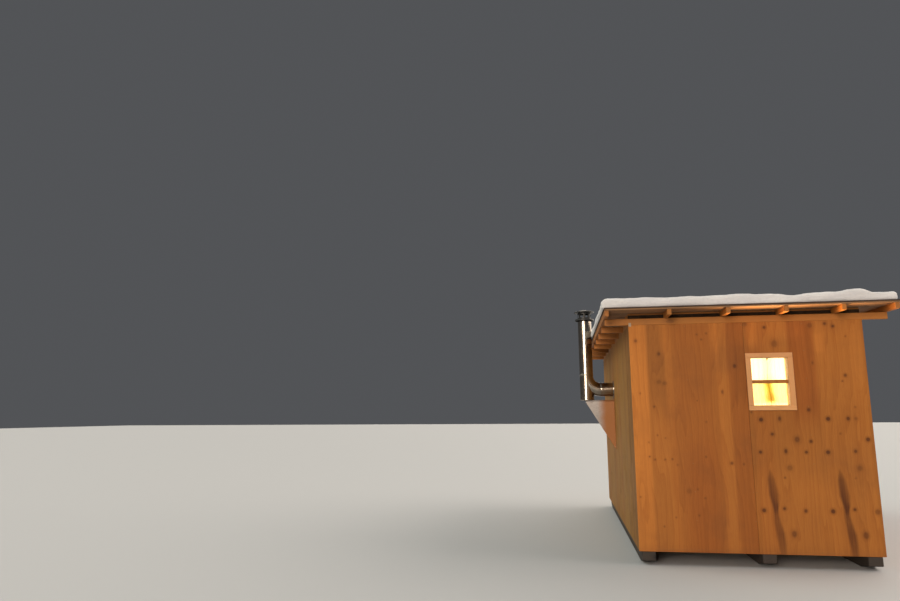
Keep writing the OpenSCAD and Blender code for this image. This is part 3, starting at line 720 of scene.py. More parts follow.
window_gap = [(WIN[0] - 0.001, WIN[1] + 0.001, WIN[2] - 0.001, WIN[3] + 0.001)]
stud_wall("front_wall_studs", 0, X0 + 0.012, X1 - 0.012, -2.428, -2.352, window_gap).make([STUD], "frame_timber", ("front_wall",))
stud_wall("rear_wall_studs", 0, X0 + 0.012, X1 - 0.012, 2.352, 2.428, [(-0.5, 0.3, Z0, 2.298)]).make(
    [STUD], "frame_timber", ("rear_wall_left", "rear_wall_right", "rear_wall_over_door"))
stud_wall("left_wall_studs", 1, -2.351, 2.351, X0 + 0.012, X0 + 0.088, [(0.168, 0.380, 1.852, 2.064)]).make([STUD], "frame_timber", ("left_wall",))
stud_wall("right_wall_studs", 1, -2.351, 2.351, X1 - 0.088, X1 - 0.012).make([STUD], "frame_timber", ("right_wall",))
LZ, LH = 0.300, 2.278                           # the lining starts on the floor
panel("front_wall_lining", (-1.2195, -2.340, LZ), (1, 0, 0), (0, -1, 0), 2.239, LH, scattered("fl", 2.2, LH, 8, 0.5), LINING, "wall_plywood", ("front_wall",),
      cell=0.06, seed=71, holes=[(WIN[0] + 1.2195, WIN[1] + 1.2195, WIN[2] - LZ, WIN[3] - LZ)])
panel("rear_wall_lining", (-1.2195, 2.340, LZ), (1, 0, 0), (0, 1, 0), 2.239, LH, scattered("rl", 2.2, LH, 8, 0.5), LINING, "wall_plywood",
      ("rear_wall_left",), cell=0.06, seed=73, holes=[(-0.4985 + 1.2195, 0.2985 + 1.2195, -1, 2.2965 - LZ)])
panel("left_wall_lining", (-1.220, -2.339, LZ), (0, 1, 0), (-1, 0, 0), 4.678, LH, scattered("ll", 2.2, LH, 8, 0.5), LINING, "wall_plywood", ("left_wall",),
      cell=0.05, seed=75, round_hole=(0.274 + 2.339, 1.958 - LZ, 0.110))
panel("right_wall_lining", (1.020, -2.339, LZ), (0, 1, 0), (1, 0, 0), 4.678, LH, scattered("wl", 2.2, LH, 8, 0.5), LINING, "wall_plywood", ("right_wall",),
      cell=0.06, seed=77)

# ---------------------------------------------------------------- runners and floor

for side_name, xc in (("left", -1.218), ("middle", 0.0), ("right", 1.018)):
    p = Piece(f"runner_{side_name}_timber")
    a, b = 2.432, 2.212
    outline = [(-a, 0.140), (-a, 0.045), (-b, 0.0), (b, 0.0), (a, 0.045), (a, 0.140)]
    p.prism(outline, 0, xc - 0.070, xc + 0.070, ch=0.006, pith=(0.3, 0.02), mat=0)
    # the grain runs along the runner, so its coordinates are taken again from the points
    g = p.v[-1]
    p.g[-1] = np.stack([g[:, 0] - xc + 0.021, g[:, 2] - 0.045, g[:, 1] + 3 * xc], 1)
    p.make([RUNNER_VERY_DARK], "runner_timber", (f"runner_{side_name}",))

p = Piece("floor_joist_timbers")
for k in range(11):
    y = -2.321 + k * 0.4642
    p.bar((-1.219, y - 0.0185, 0.1405), (1.019, y + 0.0185, 0.2795), steps=3, bow=0.0008)
p.make([STUD], "frame_timber", ("floor_joists",))
for k in range(4):
    panel(f"floor_sheet_{k + 1}", (-1.2195, -2.3395 + 1.16975 * k, 0.298), (1, 0, 0), (0, 0, -1), 2.239, 1.168, scattered(f"floor{k}", 2.2, 1.168, 6, 0.5),
          FLOOR_PLY, "floor_plywood", ("floor_sheets",), up=(0, 1, 0), thick=0.0175, cell=0.05, seed=81 + k, relief=0.0003)

# ---------------------------------------------------------------- roof timbers

BEAMS = [-2.4175 + 0.69071 * k for k in range(8)]
BATTENS = (-1.5715, -0.905, -0.295, 0.290, 0.858, 1.3715)


def beam(p, y):
    p.bar((-1.580, y - 0.0225, 2.580), (1.380, y + 0.0225, 2.653), ch=0.003, steps=10, bow=0.0009, ragged=0.0012)


p = Piece("roof_beam_front_timber")
beam(p, BEAMS[0])
p.make([SPRUCE], "frame_timber", ("roof_beam_front",))
p = Piece("roof_beams_middle_timbers")
for y in BEAMS[1:7]:
    beam(p, y)
p.make([SPRUCE], "frame_timber", ("roof_beams_middle",))
p = Piece("roof_beam_rear_timber")
beam(p, BEAMS[7])
p.make([SPRUCE], "frame_timber", ("roof_beam_rear",))
p = Piece("roof_batten_timbers")
for x in BATTENS:
    p.bar((x - 0.0225, -2.708, 2.653), (x + 0.0225, 2.708, 2.717), ch=0.003, steps=12, bow=0.0010, ragged=0.0012)
p.make([SPRUCE], "frame_timber", ("roof_battens",))

# painted shade: a near-black fibrous surface for the strip that stands in for the dark recess above the front and rear
# beams
recess_shade = Mat("felt_strip")
lint = recess_shade.noise(recess_shade.geo(), 700.0, 3.0, 0.65)
patch = recess_shade.noise(recess_shade.geo(), 11.0, 4.0, 0.6)
recess_shade_tone = recess_shade.mix(recess_shade.range(patch, 0.3, 0.75), (0.020, 0.013, 0.008), (0.048, 0.030, 0.018))
recess_shade.set(Base_Color=recess_shade.mix(recess_shade.range(lint, 0.55, 0.8, 0.0, 0.4), recess_shade_tone, (0.08, 0.054, 0.036)), Roughness=0.92, Specular_IOR_Level=0.1)
recess_shade.set(Normal=recess_shade.bump(lint, 0.6, 0.0012))
RECESS_SHADE = recess_shade.mat

# the boards that close the gap under the roof: a strip over or under the crossing timbers, and blocks between them
for end, y0 in (("front", -2.395), ("rear", 2.367)):
    p = Piece(f"eave_boards_{end}")
    p.bar((-1.292, y0, 2.5805), (1.092, y0 + 0.028, 2.6525), steps=5, bow=0.0005)
    stops = [-1.292] + [x for x in BATTENS if -1.29 < x < 1.09] + [1.092]
    for a, b in zip(stops[:-1], stops[1:]):
        a2, b2 = a + (0.023 if a > -1.29 else 0), b - (0.023 if b < 1.09 else 0)
        p.bar((a2, y0, 2.6535), (b2, y0 + 0.028, 2.7165), steps=2)
    p.make([SPRUCE], "frame_timber", (f"eave_board_{end}",))
    # a near-black strip along the joint with the beam: painted shade, standing in for the dark recess above the beam
    p = Piece(f"eave_felt_{end}")
    face = y0 - 0.0022 if end == "front" else y0 + 0.0282
    for a, b in zip(stops[:-1], stops[1:]):
        a2, b2 = a + (0.0232 if a > -1.29 else -0.028), b - (0.0232 if b < 1.09 else -0.028)
        p.bar((a2, face, 2.6535), (b2, face + 0.0020, 2.6960 + p.rng.random() * 0.003), ch=0.0006, steps=24, bow=0.0, tint=(0.5, 0.5, 0.5))
    p.make([RECESS_SHADE], "roof_sheet")
for end, x0 in (("left", -1.320), ("right", 1.092)):
    p = Piece(f"eave_boards_{end}")
    p.bar((x0, -2.395, 2.6535), (x0 + 0.028, 2.395, 2.7165), steps=6, bow=0.0005)
    stops = [-2.4175 + 0.0225 - 0.0005] + BEAMS[1:7] + [2.395]
    for k, (a, b) in enumerate(zip(stops[:-1], stops[1:])):
        a2, b2 = (a if k == 0 else a + 0.023), (b if k == len(stops) - 2 else b - 0.023)
        p.bar((x0, a2, 2.5805), (x0 + 0.028, b2, 2.6525), steps=2)
    p.make([SPRUCE], "frame_timber", (f"eave_board_{end}",))

p = Piece("roof_deck_boards")
PITCH = 5.436 / 37
for k in range(37):
    y = -2.718 + PITCH * k
    short = p.rng.random(2) * 0.004
    p.bar((-1.596 + short[0], y + 0.001, 2.717), (1.396 - short[1], y + PITCH - 0.001, 2.7388), axis=0, ch=0.0018, steps=8, bow=0.0004, ragged=0.001)
p.make([SAWN], "roof_timber", ("roof_boards",))

# ---------------------------------------------------------------- roof sheet and snow

def value_noise(x, y, word):
    """Smooth noise from -1 to 1 over a random lattice."""
    lattice = seeded(word).random((97, 97)) * 2 - 1
    xi, yi = np.floor(x).astype(int), np.floor(y).astype(int)
    fx, fy = x - xi, y - yi
    fx, fy = fx * fx * (3 - 2 * fx), fy * fy * (3 - 2 * fy)
    a, b = lattice[yi % 97, xi % 97], lattice[yi % 97, (xi + 1) % 97]
    c, d = lattice[(yi + 1) % 97, xi % 97], lattice[(yi + 1) % 97, (xi + 1) % 97]
    return (a * (1 - fx) + b * fx) * (1 - fy) + (c * (1 - fx) + d * fx) * fy


def perimeter(x0, x1, y0, y1, step):
    """Points round a rectangle, anticlockwise, with the outward direction at each."""
    out = []
    for (ax, ay), (bx, by), way in (((x0, y0), (x1, y0), (0, -1)), ((x1, y0), (x1, y1), (1, 0)), ((x1, y1), (x0, y1), (0, 1)), ((x0, y1), (x0, y0), (-1, 0))):
        n = int(round(math.hypot(bx - ax, by - ay) / step))
        for k in range(n):
            t = k / n
            w = np.array(way, float)
            if k == 0:
                w = w + {(0, -1): (-1, 0), (1, 0): (0, -1), (0, 1): (1, 0), (-1, 0): (0, 1)}[way]
            out.append((np.array([ax + (bx - ax) * t, ay + (by - ay) * t]), w))
    return out


p = Piece("roof_sheet_bitumen")
ring = perimeter(-1.6005, 1.4005, -2.7215, 2.7215, 0.03)
verts, n = [], len(ring)
for k, (q, way) in enumerate(ring):
    here = np.array([q[0] * 4 + 50, q[1] * 4 + 50])
    wave = float(value_noise(here[:1], here[1:], "sheet edge")[0])
    fine = float(value_noise(here[:1] * 3.1, here[1:] * 3.1, "sheet edge fine")[0])
    out, low = 0.0015 + 0.0012 * wave, 2.7315 + 0.0016 * wave + 0.0012 * fine
    for o, z in ((-0.045, 2.7465), (-0.0030, 2.7468), (0.0000, 2.7455), (0.0012, 2.7430), (out + 0.001, 2.7380), (out + 0.001 + 0.001 * fine, low),
                 (out - 0.0015 + 0.001 * fine, low), (-0.0005, 2.7380), (-0.0015, 2.7412), (-0.045, 2.7395)):
        verts.append((*(q + way * o), z))
m_ = 10
faces = []
for k in range(n):
    l = (k + 1) % n
    for r in range(m_ - 1):
        faces.append((k * m_ + r, k * m_ + r + 1, l * m_ + r + 1, l * m_ + r))
faces.append(tuple(k * m_ for k in range(n)))
faces.append(tuple(k * m_ + m_ - 1 for k in range(n - 1, -1, -1)))
p.add(verts, faces, smooth=False)
bitumen = Mat("bitumen_sheet")
pos = bitumen.geo()
grit = bitumen.noise(pos, 900.0, 2.0, 0.6)
soft = bitumen.noise(pos, 9.0, 4.0, 0.6)
shade = bitumen.mix(bitumen.range(soft, 0.3, 0.75), (0.026, 0.014, 0.010), (0.060, 0.030, 0.020))
bitumen.set(Base_Color=bitumen.mix(bitumen.range(grit, 0.5, 0.8, 0.0, 0.6), shade, (0.085, 0.062, 0.048)), Roughness=bitumen.range(soft, 0.2, 0.8, 0.65, 0.9))
bitumen.set(Normal=bitumen.bump(grit, 0.7, 0.0012), Specular_IOR_Level=0.3)
p.make([bitumen.mat], "roof_sheet", ("roof_sheet",))

# settled snow: a rounded slab whose front edge rises and dips as in the photograph
SX0, SX1, SY, SZ, SH, SR = -1.633, 1.399, 2.720, 2.7470, 0.112, 0.058
EDGE_X = np.array([-1.62, -1.585, -1.54, -1.42, -1.28, -1.16, -1.06, -0.91, -0.78, -0.66, -0.53, -0.35, -0.16, 0.02, 0.14, 0.26, 0.33, 0.38, 0.44, 0.52, 0.62, 0.74, 0.80, 0.89, 0.96, 1.02, 1.08, 1.14, 1.26, 1.40])
EDGE_H = np.array([0.086, 0.101, 0.114, 0.109, 0.107, 0.111, 0.104, 0.101, 0.104, 0.109, 0.100, 0.109, 0.116, 0.107, 0.105, 0.098, 0.085, 0.078, 0.085, 0.099, 0.105, 0.106, 0.104, 0.124, 0.132, 0.133, 0.120, 0.092, 0.086, 0.092])


def snow_height(x, y):
    broad = 0.100 + 0.012 * value_noise(x * 1.3 + 20, y * 1.1 + 20, "snow broad") + 0.006 * value_noise(x * 3.4 + 9, y * 3.1 + 9, "snow mid")
    front = np.interp(x + 0.03 * value_noise(x * 3 + 5, y * 3 + 5, "snow shift"), EDGE_X, EDGE_H)
    near = 1 - smooth(y, -2.62, -1.9)
    h = broad * (1 - near) + front * near
    h += 0.0035 * value_noise(x * 13 + 3, y * 13 + 3, "snow lumps") + 0.0018 * value_noise(x * 31 + 7, y * 31 + 7, "snow crumbs")
    return h


def snow_lines(a, b, step):
    rim = SR * np.array([0.0, 0.10, 0.25, 0.45, 0.70, 1.0])
    inner = np.linspace(a + SR, b - SR, int((b - a) / step))
    return np.concatenate([a + rim[:-1], inner, (b - rim[:-1])[::-1]])


xs, ys = snow_lines(SX0, SX1, 0.024), snow_lines(-SY, SY, 0.026)
gx, gy = np.meshgrid(xs, ys)
top = np.stack([gx.ravel(), gy.ravel(), np.full(gx.size, SZ + SH)], 1)
nx, ny = len(xs), len(ys)
grid = np.arange(nx * ny).reshape(ny, nx)
rim = list(grid[0, :-1]) + list(grid[:-1, -1]) + list(grid[-1, :0:-1]) + list(grid[:0:-1, 0])
levels = SZ + SH * np.array([0.0, 0.06, 0.2, 0.36, 0.52, 0.66, 0.8, 0.91])
points = [top]
for z in levels:
    ring_points = top[rim].copy()
    ring_points[:, 2] = z
    points.append(ring_points)
pts = np.concatenate(points)
low = np.array([SX0 + SR, -SY + SR, -1.0])
high = np.array([SX1 - SR, SY - SR, SZ + SH - SR])
core = np.clip(pts, low, high)
off = pts - core
length = np.linalg.norm(off, axis=1)
pts = core + off * (SR / np.maximum(length, 1e-9))[:, None] * (length > 1e-9)[:, None] + (length <= 1e-9)[:, None] * off
flat_in = length <= SR + 1e-9
share = np.clip((pts[:, 2] - SZ) / SH, 0, 1)
h = snow_height(pts[:, 0], pts[:, 1])
pts[:, 2] = SZ + share * h
way = off.copy()
way[:, 2] = 0
way /= np.maximum(np.linalg.norm(way, axis=1), 1e-9)[:, None]
side_on = np.clip(np.linalg.norm(off[:, :2], axis=1) / SR, 0, 1)
along = pts[:, 0] + pts[:, 1]
bulge = 0.010 * value_noise(along * 2.3 + 30, share * 2 + 3, "snow side") + 0.005 * value_noise(along * 9 + 60, share * 5 + 9, "snow side fine")
bulge += 0.0015 * value_noise(along * 33 + 60, share * 14 + 9, "snow side crumbs")
tuck = -0.012 * (1 - smooth(share, 0.0, 0.22)) - 0.003
pts += way * ((bulge - 0.004 + tuck) * side_on)[:, None]
faces = []
for j in range(ny - 1):
    for i in range(nx - 1):
        faces.append((grid[j, i], grid[j, i + 1], grid[j + 1, i + 1], grid[j + 1, i]))
nr, base = len(rim), nx * ny
ids = [[base + lv * nr + k for k in range(nr)] for lv in range(len(levels))] + [rim]
for lo, hi in zip(ids[:-1], ids[1:]):
    for k in range(nr):
        l = (k + 1) % nr
        faces.append((lo[k], lo[l], hi[l], hi[k]))
faces.append(tuple(ids[0][k] for k in range(nr - 1, -1, -1)))
p = Piece("roof_snow_layer")
p.add(pts, faces, smooth=True)
snow = Mat("settled_snow")
pos = snow.geo()
clumps = snow.noise(pos, 34.0, 5.0, 0.62)
grains = snow.noise(pos, 420.0, 2.0, 0.6)
tone_ = snow.noise(pos, 2.2, 3.0, 0.5)
white = snow.mix(snow.range(tone_, 0.3, 0.75), (0.555, 0.545, 0.555), (0.64, 0.625, 0.62))
white = snow.mix(snow.range(clumps, 0.55, 0.30, 0.0, 0.35), white, (0.47, 0.465, 0.49))
snow.set(Base_Color=white, Roughness=0.75, Specular_IOR_Level=0.25, Sheen_Weight=0.15, Sheen_Roughness=0.5)
snow.set(Subsurface_Weight=0.12, Subsurface_Radius=(0.012, 0.014, 0.018), Subsurface_Scale=1.0)
snow.set(Normal=snow.bump(snow.math("MULTIPLY_ADD", grains, 0.25, clumps), 0.6, 0.006))
p.make([snow.mat], "snow", ("roof_snow",))

# ---------------------------------------------------------------- window

def frame_boards(name, inner, outer, y0, y1, mat, slot, node, ch=0.002, lap="sides"):
    """Four boards round an opening. inner and outer are (x0, x1, z0, z1); lap says which boards run through."""
    p = Piece(name)
    a0, a1, c0, c1 = outer
    b0, b1, d0, d1 = inner
    gap = 0.0004
    if lap == "sides":
        p.bar((a0, y0, c0), (b0, y1, c1), axis=2, ch=ch)
        p.bar((b1, y0, c0), (a1, y1, c1), axis=2, ch=ch)
        p.bar((b0 + gap, y0, c0), (b1 - gap, y1, d0), axis=0, ch=ch)
        p.bar((b0 + gap, y0, d1), (b1 - gap, y1, c1), axis=0, ch=ch)
    else:
        p.bar((a0, y0, c0), (a1, y1, d0), axis=0, ch=ch)
        p.bar((a0, y0, d1), (a1, y1, c1), axis=0, ch=ch)
        p.bar((a0, y0, d0 + gap), (b0, y1, d1 - gap), axis=2, ch=ch)
        p.bar((b1, y0, d0 + gap), (a1, y1, d1 - gap), axis=2, ch=ch)
    return p.make([mat], slot, (node,) if node else ())


GX0, GX1, GZ0, GZ1 = -0.045, 0.332, 1.672, 2.189
frame_boards("window_casing_boards", (GX0, GX1, GZ0, GZ1), (-0.098, 0.385, 1.622, 2.239), -2.4600, -2.4402, TRIM, "casing_timber", "window_casing", ch=0.003, lap="top")
frame_boards("window_lining_boards", (GX0, GX1, GZ0, GZ1), (WIN[0] + 0.0005, WIN[1] - 0.0005, WIN[2] + 0.0005, WIN[3] - 0.0005), -2.4395, -2.3400, PALE_WINDOW_LIT,
             "frame_timber", "window_frame")
frame_boards("window_glazing_beads", (GX0 + 0.0048, GX1 - 0.0048, GZ0 + 0.0048, GZ1 - 0.0048), (GX0 + 0.0003, GX1 - 0.0003, GZ0 + 0.0003, GZ1 - 0.0003), -2.4160, -2.4092,
             PALE_WINDOW_LIT, "frame_timber", None, ch=0.0012)
frame_boards("window_inner_beads", (GX0 + 0.0048, GX1 - 0.0048, GZ0 + 0.0048, GZ1 - 0.0048), (GX0 + 0.0003, GX1 - 0.0003, GZ0 + 0.0003, GZ1 - 0.0003), -2.4048, -2.3980,
             PALE_WINDOW_LIT, "frame_timber", None, ch=0.0012)
p = Piece("window_bar_timber")
p.bar((GX0 + 0.0003, -2.4350, 1.9098), (GX1 - 0.0003, -2.4095, 1.9478), axis=0, ch=0.0015)
p.make([SPRUCE], "frame_timber", ("window_bar",))

glass = Mat("window_glass_clear")
smear = glass.noise(glass.geo(), 5.0, 3.0)
glass.set(Base_Color=(0.985, 0.99, 0.985), Transmission_Weight=1.0, IOR=1.45, Roughness=glass.range(smear, 0.3, 0.8, 0.0, 0.05))
NODES["window_glass"].data.materials.clear()
NODES["window_glass"].data.materials.append(glass.mat)

# ---------------------------------------------------------------- curtains

cloth = Mat("curtain_cloth_lit")
fold, across_c, up_c = cloth.sep(cloth.attr("cloth"))
weave_u = cloth.math("SINE", cloth.math("MULTIPLY", cloth.sep(cloth.attr("gco"))[0], 5200.0))
weave_v = cloth.math("SINE", cloth.math("MULTIPLY", cloth.sep(cloth.attr("gco"))[2], 5200.0))
weave = cloth.math("MULTIPLY", weave_u, weave_v)
# painted light: the cloth glows by its own emission, standing in for the room's light shining through it; nearly white
# above the bar, yellow below it, deep amber along the seam, with the seam darkening, the brighter lobes and the pleat
# shading painted as light and shade
upper = cloth.range(up_c, 1.905, 1.955)
hem = cloth.range(up_c, 1.712, 1.688)
glow = cloth.mix(upper, (1.0, 0.575, 0.162), (1.0, 0.69, 0.335))
glow = cloth.mix(cloth.math("MULTIPLY", hem, 0.75), glow, (1.0, 0.68, 0.270))
glow = cloth.mix(cloth.range(across_c, 0.30, 0.02, 0.0, 0.35), glow, (1.0, 0.56, 0.14))
from_seam = cloth.math("MULTIPLY_ADD", across_c, -0.25, 0.25)
near = cloth.math("EXPONENT", cloth.math("MULTIPLY", cloth.math("POWER", cloth.math("MULTIPLY", from_seam, 14.0), 2.0), -1.0))
near = cloth.math("MULTIPLY", near, cloth.range(up_c, 1.70, 1.76, 0.2, 1.0))
near = cloth.math("MULTIPLY", near, cloth.range(up_c, 2.05, 1.93, 0.25, 1.0))
glow = cloth.mix(cloth.math("MULTIPLY", near, 0.40), glow, (1.0, 0.54, 0.085))
flare = cloth.range(up_c, 1.84, 1.755, 29.0, 21.0)
seam_shade = cloth.math("EXPONENT", cloth.math("MULTIPLY", cloth.math("POWER", cloth.math("MULTIPLY", from_seam, flare), 2.0), -1.0))
seam_shade = cloth.math("MULTIPLY", seam_shade, cloth.range(up_c, 1.690, 1.740, 0.12, 1.0))
seam_shade = cloth.math("MULTIPLY", seam_shade, cloth.range(up_c, 1.955, 1.915, 0.10, 1.0))
glow = cloth.mix(seam_shade, glow, cloth.mix(cloth.range(up_c, 1.87, 1.77), (1.0, 0.62, 0.02), (1.0, 0.48, 0.02)))
# brighter and darker bands across the pleats: painted shade
pleat_shade = cloth.math("MULTIPLY_ADD", fold, 0.08, 1.0)
lobes = cloth.math("MULTIPLY_ADD", cloth.math("SINE", cloth.math("MULTIPLY", across_c, math.pi)), 0.16, 0.88)
power = cloth.math("MULTIPLY", cloth.math("MULTIPLY", lobes, pleat_shade), cloth.math("MULTIPLY_ADD", upper, 0.1, 2.55))
power = cloth.math("MULTIPLY", power, cloth.math("MULTIPLY_ADD", seam_shade, -0.70, 1.0))
power = cloth.math("MULTIPLY_ADD", weave, 0.05, power)
thread = cloth.mix(cloth.range(weave, -0.6, 0.8), (0.36, 0.29, 0.16), (0.46, 0.38, 0.22))
# the seam is also painted darker in the cloth's base colour: painted shade
cloth.set(Base_Color=cloth.mix(seam_shade, thread, (0.20, 0.10, 0.02)), Roughness=0.85, Sheen_Weight=0.1)
cloth.set(Emission_Color=glow, Emission_Strength=power, Normal=cloth.bump(weave, 0.35, 0.0005))

SEAM = 0.166
TOP, FOOT, YC = 2.2400, 1.588, -2.295


def curtain(name, way):
    """One gathered panel. Its inner edge falls straight from the rod to half height, then swings back a little."""
    nu, nv, thick = 132, 46, 0.0009
    folds_n = 5.0
    outer_x = 0.1435 + way * 0.2495
    rng = seeded(name)
    wobble = rng.random(8) * 6.28
    u, v = np.meshgrid(np.linspace(0, 1, nu), np.linspace(0, 1, nv))
    z = TOP + (FOOT - TOP) * v
    meet = np.interp(z, [1.58, 1.74, 1.92, 2.19, 2.24], [0.180, 0.178, 0.156, 0.166, 0.168])
    gap = 0.0003 + 0.0110 * smooth(z, 2.155, 2.205)
    inner_x = meet + way * gap
    s = u + 0.012 * np.sin(2 * math.pi * folds_n * u + wobble[0]) * (0.4 + v)
    x = outer_x + (inner_x - outer_x) * (s - s.min()) / (s.max() - s.min())
    depth = (0.0085 + 0.0065 * v) * (1 + 0.25 * np.sin(7 * u + wobble[1]))
    phase = 2 * math.pi * folds_n * u + 0.35 * np.sin(2.2 * v + wobble[2]) + 0.5 * v * np.sin(5 * u + wobble[3])
    y = YC + depth * np.sin(phase) + 0.0015 * np.sin(13 * v + 9 * u + wobble[4])
    mid = np.stack([x, y, z + 0.0035 * np.sin(phase) * (v > 0.98)], 2)
    du, dv = np.gradient(mid, axis=1), np.gradient(mid, axis=0)
    normal = np.cross(du, dv)
    normal /= np.linalg.norm(normal, axis=2)[:, :, None]
    front, rear = mid + normal * thick / 2, mid - normal * thick / 2
    area = float(np.linalg.norm(np.cross(mid[1:, :-1] - mid[:-1, :-1], mid[:-1, 1:] - mid[:-1, :-1]), axis=2).sum())
    grid = np.arange(nu * nv).reshape(nv, nu)
    faces, back_id = [], nu * nv
    for j in range(nv - 1):
        for i in range(nu - 1):
            a, b, c, d = grid[j, i], grid[j, i + 1], grid[j + 1, i + 1], grid[j + 1, i]
            faces.append((a, b, c, d))
            faces.append((back_id + d, back_id + c, back_id + b, back_id + a))
    loop = list(grid[0, :-1]) + list(grid[:-1, -1]) + list(grid[-1, :0:-1]) + list(grid[:0:-1, 0])
    for k in range(len(loop)):
        a, b = loop[k], loop[(k + 1) % len(loop)]
        faces.append((b, a, back_id + a, back_id + b))
    arc = np.concatenate([np.zeros((nv, 1)), np.cumsum(np.linalg.norm(np.diff(mid, axis=1), axis=2), axis=1)], axis=1)
    gco = np.stack([arc, np.zeros_like(arc), z], 2).reshape(-1, 3)
    data = np.stack([np.sin(phase) * -1.0, 1 - u, z], 2).reshape(-1, 3)
    data[:, 1] = (1 - data[:, 1])
    p = Piece(name)
    p.add(np.concatenate([front.reshape(-1, 3), rear.reshape(-1, 3)]), faces, np.concatenate([gco, gco]), smooth=True)
    obj = p.make([cloth.mat], "curtain_cloth", ("curtains",), {"cloth": np.concatenate([data, data])})
    length = float(np.linalg.norm(np.diff(mid, axis=0), axis=2).sum(0).mean())
    return obj, round(area / length, 3), round(length, 3)


# the rod in its two wall brackets, with rings that carry the cloth
p = Piece("curtain_rod_turned")
rod_z, rod_x0, rod_x1 = 2.256, -0.147, 0.434
r = 0.008
p.lathe([(0, 0), (r + 0.002, 0), (r + 0.003, 0.002), (r + 0.002, 0.006), (r, 0.008), (r, 0.290), (r, 0.573), (r + 0.002, 0.575), (r + 0.003, 0.579), (r + 0.002, 0.581), (0, 0.581)],
        (rod_x0, YC, rod_z), axis=0, count=28)
p.g[-1] = p.g[-1][:, [1, 2, 0]]
for x in (WIN[0] - 0.075, WIN[1] + 0.053):
    p.bar((x, -2.3400, rod_z - 0.016), (x + 0.022, -2.3380 + 0.050, rod_z + 0.016), axis=1, ch=0.003)
p.make([SPRUCE], "frame_timber", ("curtain_rod",))
rings = []
for way, word in ((-1, "left"), (1, "right")):
    obj, wide, tall = curtain(f"curtain_{word}", way)
    p = Piece(f"curtain_rings_{word}")
    for k in range(6):
        x = SEAM + way * (0.016 + (0.0435 + 0.0045 * -way) * k)
        R, q = 0.0125, 0.0013
        circle = [(R + q * math.cos(t), q * math.sin(t)) for t in np.linspace(0, 2 * math.pi, 9)[:-1]]
        p.lathe(circle, (x, YC, rod_z - R + r + 0.0015), axis=0, count=28, closed=True)
    rings.append((p, obj, wide, tall, word))
brass = Mat("ring_brass")
brass.set(Base_Color=brass.mix(brass.range(brass.noise(brass.geo(), 300.0, 3.0), 0.4, 0.7), (0.55, 0.40, 0.16), (0.34, 0.23, 0.09)), Metallic=1.0, Roughness=0.4)
for p, obj, wide, tall, word in rings:
    ring_obj = p.make([brass.mat], "black_iron")
    print("curtain", word, "flat", wide, tall)

# ---------------------------------------------------------------- metals

def steel(name, base, rough, along="z", streaks=0.10, dirt=0.3, dirt_colour=(0.10, 0.07, 0.05), metallic=1.0, aniso=0.5):
    """Drawn or brushed metal: fine lines along one axis of the part, cloudy smears and a little grime."""
    m = Mat(name)
    x, y, z = m.sep(m.attr("gco"))
    if along == "z":
        line = m.join(m.math("MULTIPLY", x, 240.0), m.math("MULTIPLY", y, 240.0), m.math("MULTIPLY", z, 3.0))
    elif along == "x":
        line = m.join(m.math("MULTIPLY", x, 3.0), m.math("MULTIPLY", y, 240.0), m.math("MULTIPLY", z, 240.0))
    else:
        line = m.join(m.math("MULTIPLY", x, 30.0), m.math("MULTIPLY", y, 30.0), m.math("MULTIPLY", z, 30.0))
    fine = m.noise(line, 1.0, 3.0, 0.6)
    cloud = m.noise(m.geo(), 7.0, 4.0, 0.6)
    spots = m.range(m.noise(m.geo(), 60.0, 4.0, 0.7), 0.62, 0.78)
    smear = m.range(cloud, 0.45, 0.8)
    colour = m.mix(m.math("MULTIPLY", fine, streaks * 2, clamp=True), base, tuple(c * 0.7 for c in base))
    colour = m.mix(m.math("MULTIPLY", m.math("MAXIMUM", m.math("MULTIPLY", smear, 0.35), m.math("MULTIPLY", spots, 0.6)), dirt), colour, dirt_colour)
    m.set(Base_Color=colour, Metallic=metallic, Anisotropic=aniso)
    m.set(Roughness=m.math("ADD", m.math("MULTIPLY_ADD", fine, streaks, rough - streaks / 2), m.math("MULTIPLY", smear, 0.10 * dirt * 3)))
    m.set(Normal=m.bump(fine, 0.12, 0.0004))
    return m.mat


STAINLESS = steel("flue_stainless", (0.385, 0.325, 0.262), 0.17)
STAINLESS_LEVEL = steel("flue_stainless_level", (0.385, 0.325, 0.262), 0.19, along="x")
STAINLESS_RING = steel("flue_stainless_bands", (0.365, 0.315, 0.26), 0.21, along="")
# cowl steel set near black: soot, and a painted dark reflection standing in for the dark sky the cowl reflects
SOOTED_PAINTED_DARK = steel("cowl_sooted_painted_dark", (0.030, 0.029, 0.028), 0.44, along="", dirt=0.8, dirt_colour=(0.012, 0.010, 0.009), metallic=0.6, aniso=0.0)
IRON = steel("black_iron_painted", (0.022, 0.022, 0.024), 0.42, along="", dirt=0.5, dirt_colour=(0.07, 0.035, 0.02), metallic=0.0, aniso=0.0)

zinc = Mat("galvanised_spangle")
spangle = zinc.voronoi(zinc.geo(), 75.0, out="Color")
sp = zinc.sep(spangle)[0]
cloudy = zinc.noise(zinc.geo(), 9.0, 4.0)
zcol = zinc.mix(sp, (0.56, 0.555, 0.55), (0.68, 0.675, 0.665))
zcol = zinc.mix(zinc.range(cloudy, 0.5, 0.8, 0.0, 0.4), zcol, (0.60, 0.58, 0.56))
zinc.set(Base_Color=zcol, Metallic=0.85, Roughness=zinc.math("MULTIPLY_ADD", sp, 0.06, 0.30))
ZINC = zinc.mat

# the bracket's sheet: dull zinc, stained brown from the wall side
sheet = Mat("bracket_sheet_stained")
flake = sheet.sep(sheet.voronoi(sheet.geo(), 75.0, out="Color"))[0]
cloudy = sheet.noise(sheet.geo(), 6.0, 4.0, 0.6)
scol = sheet.mix(flake, (0.31, 0.28, 0.265), (0.39, 0.36, 0.34))
place = sheet.sep(sheet.geo())
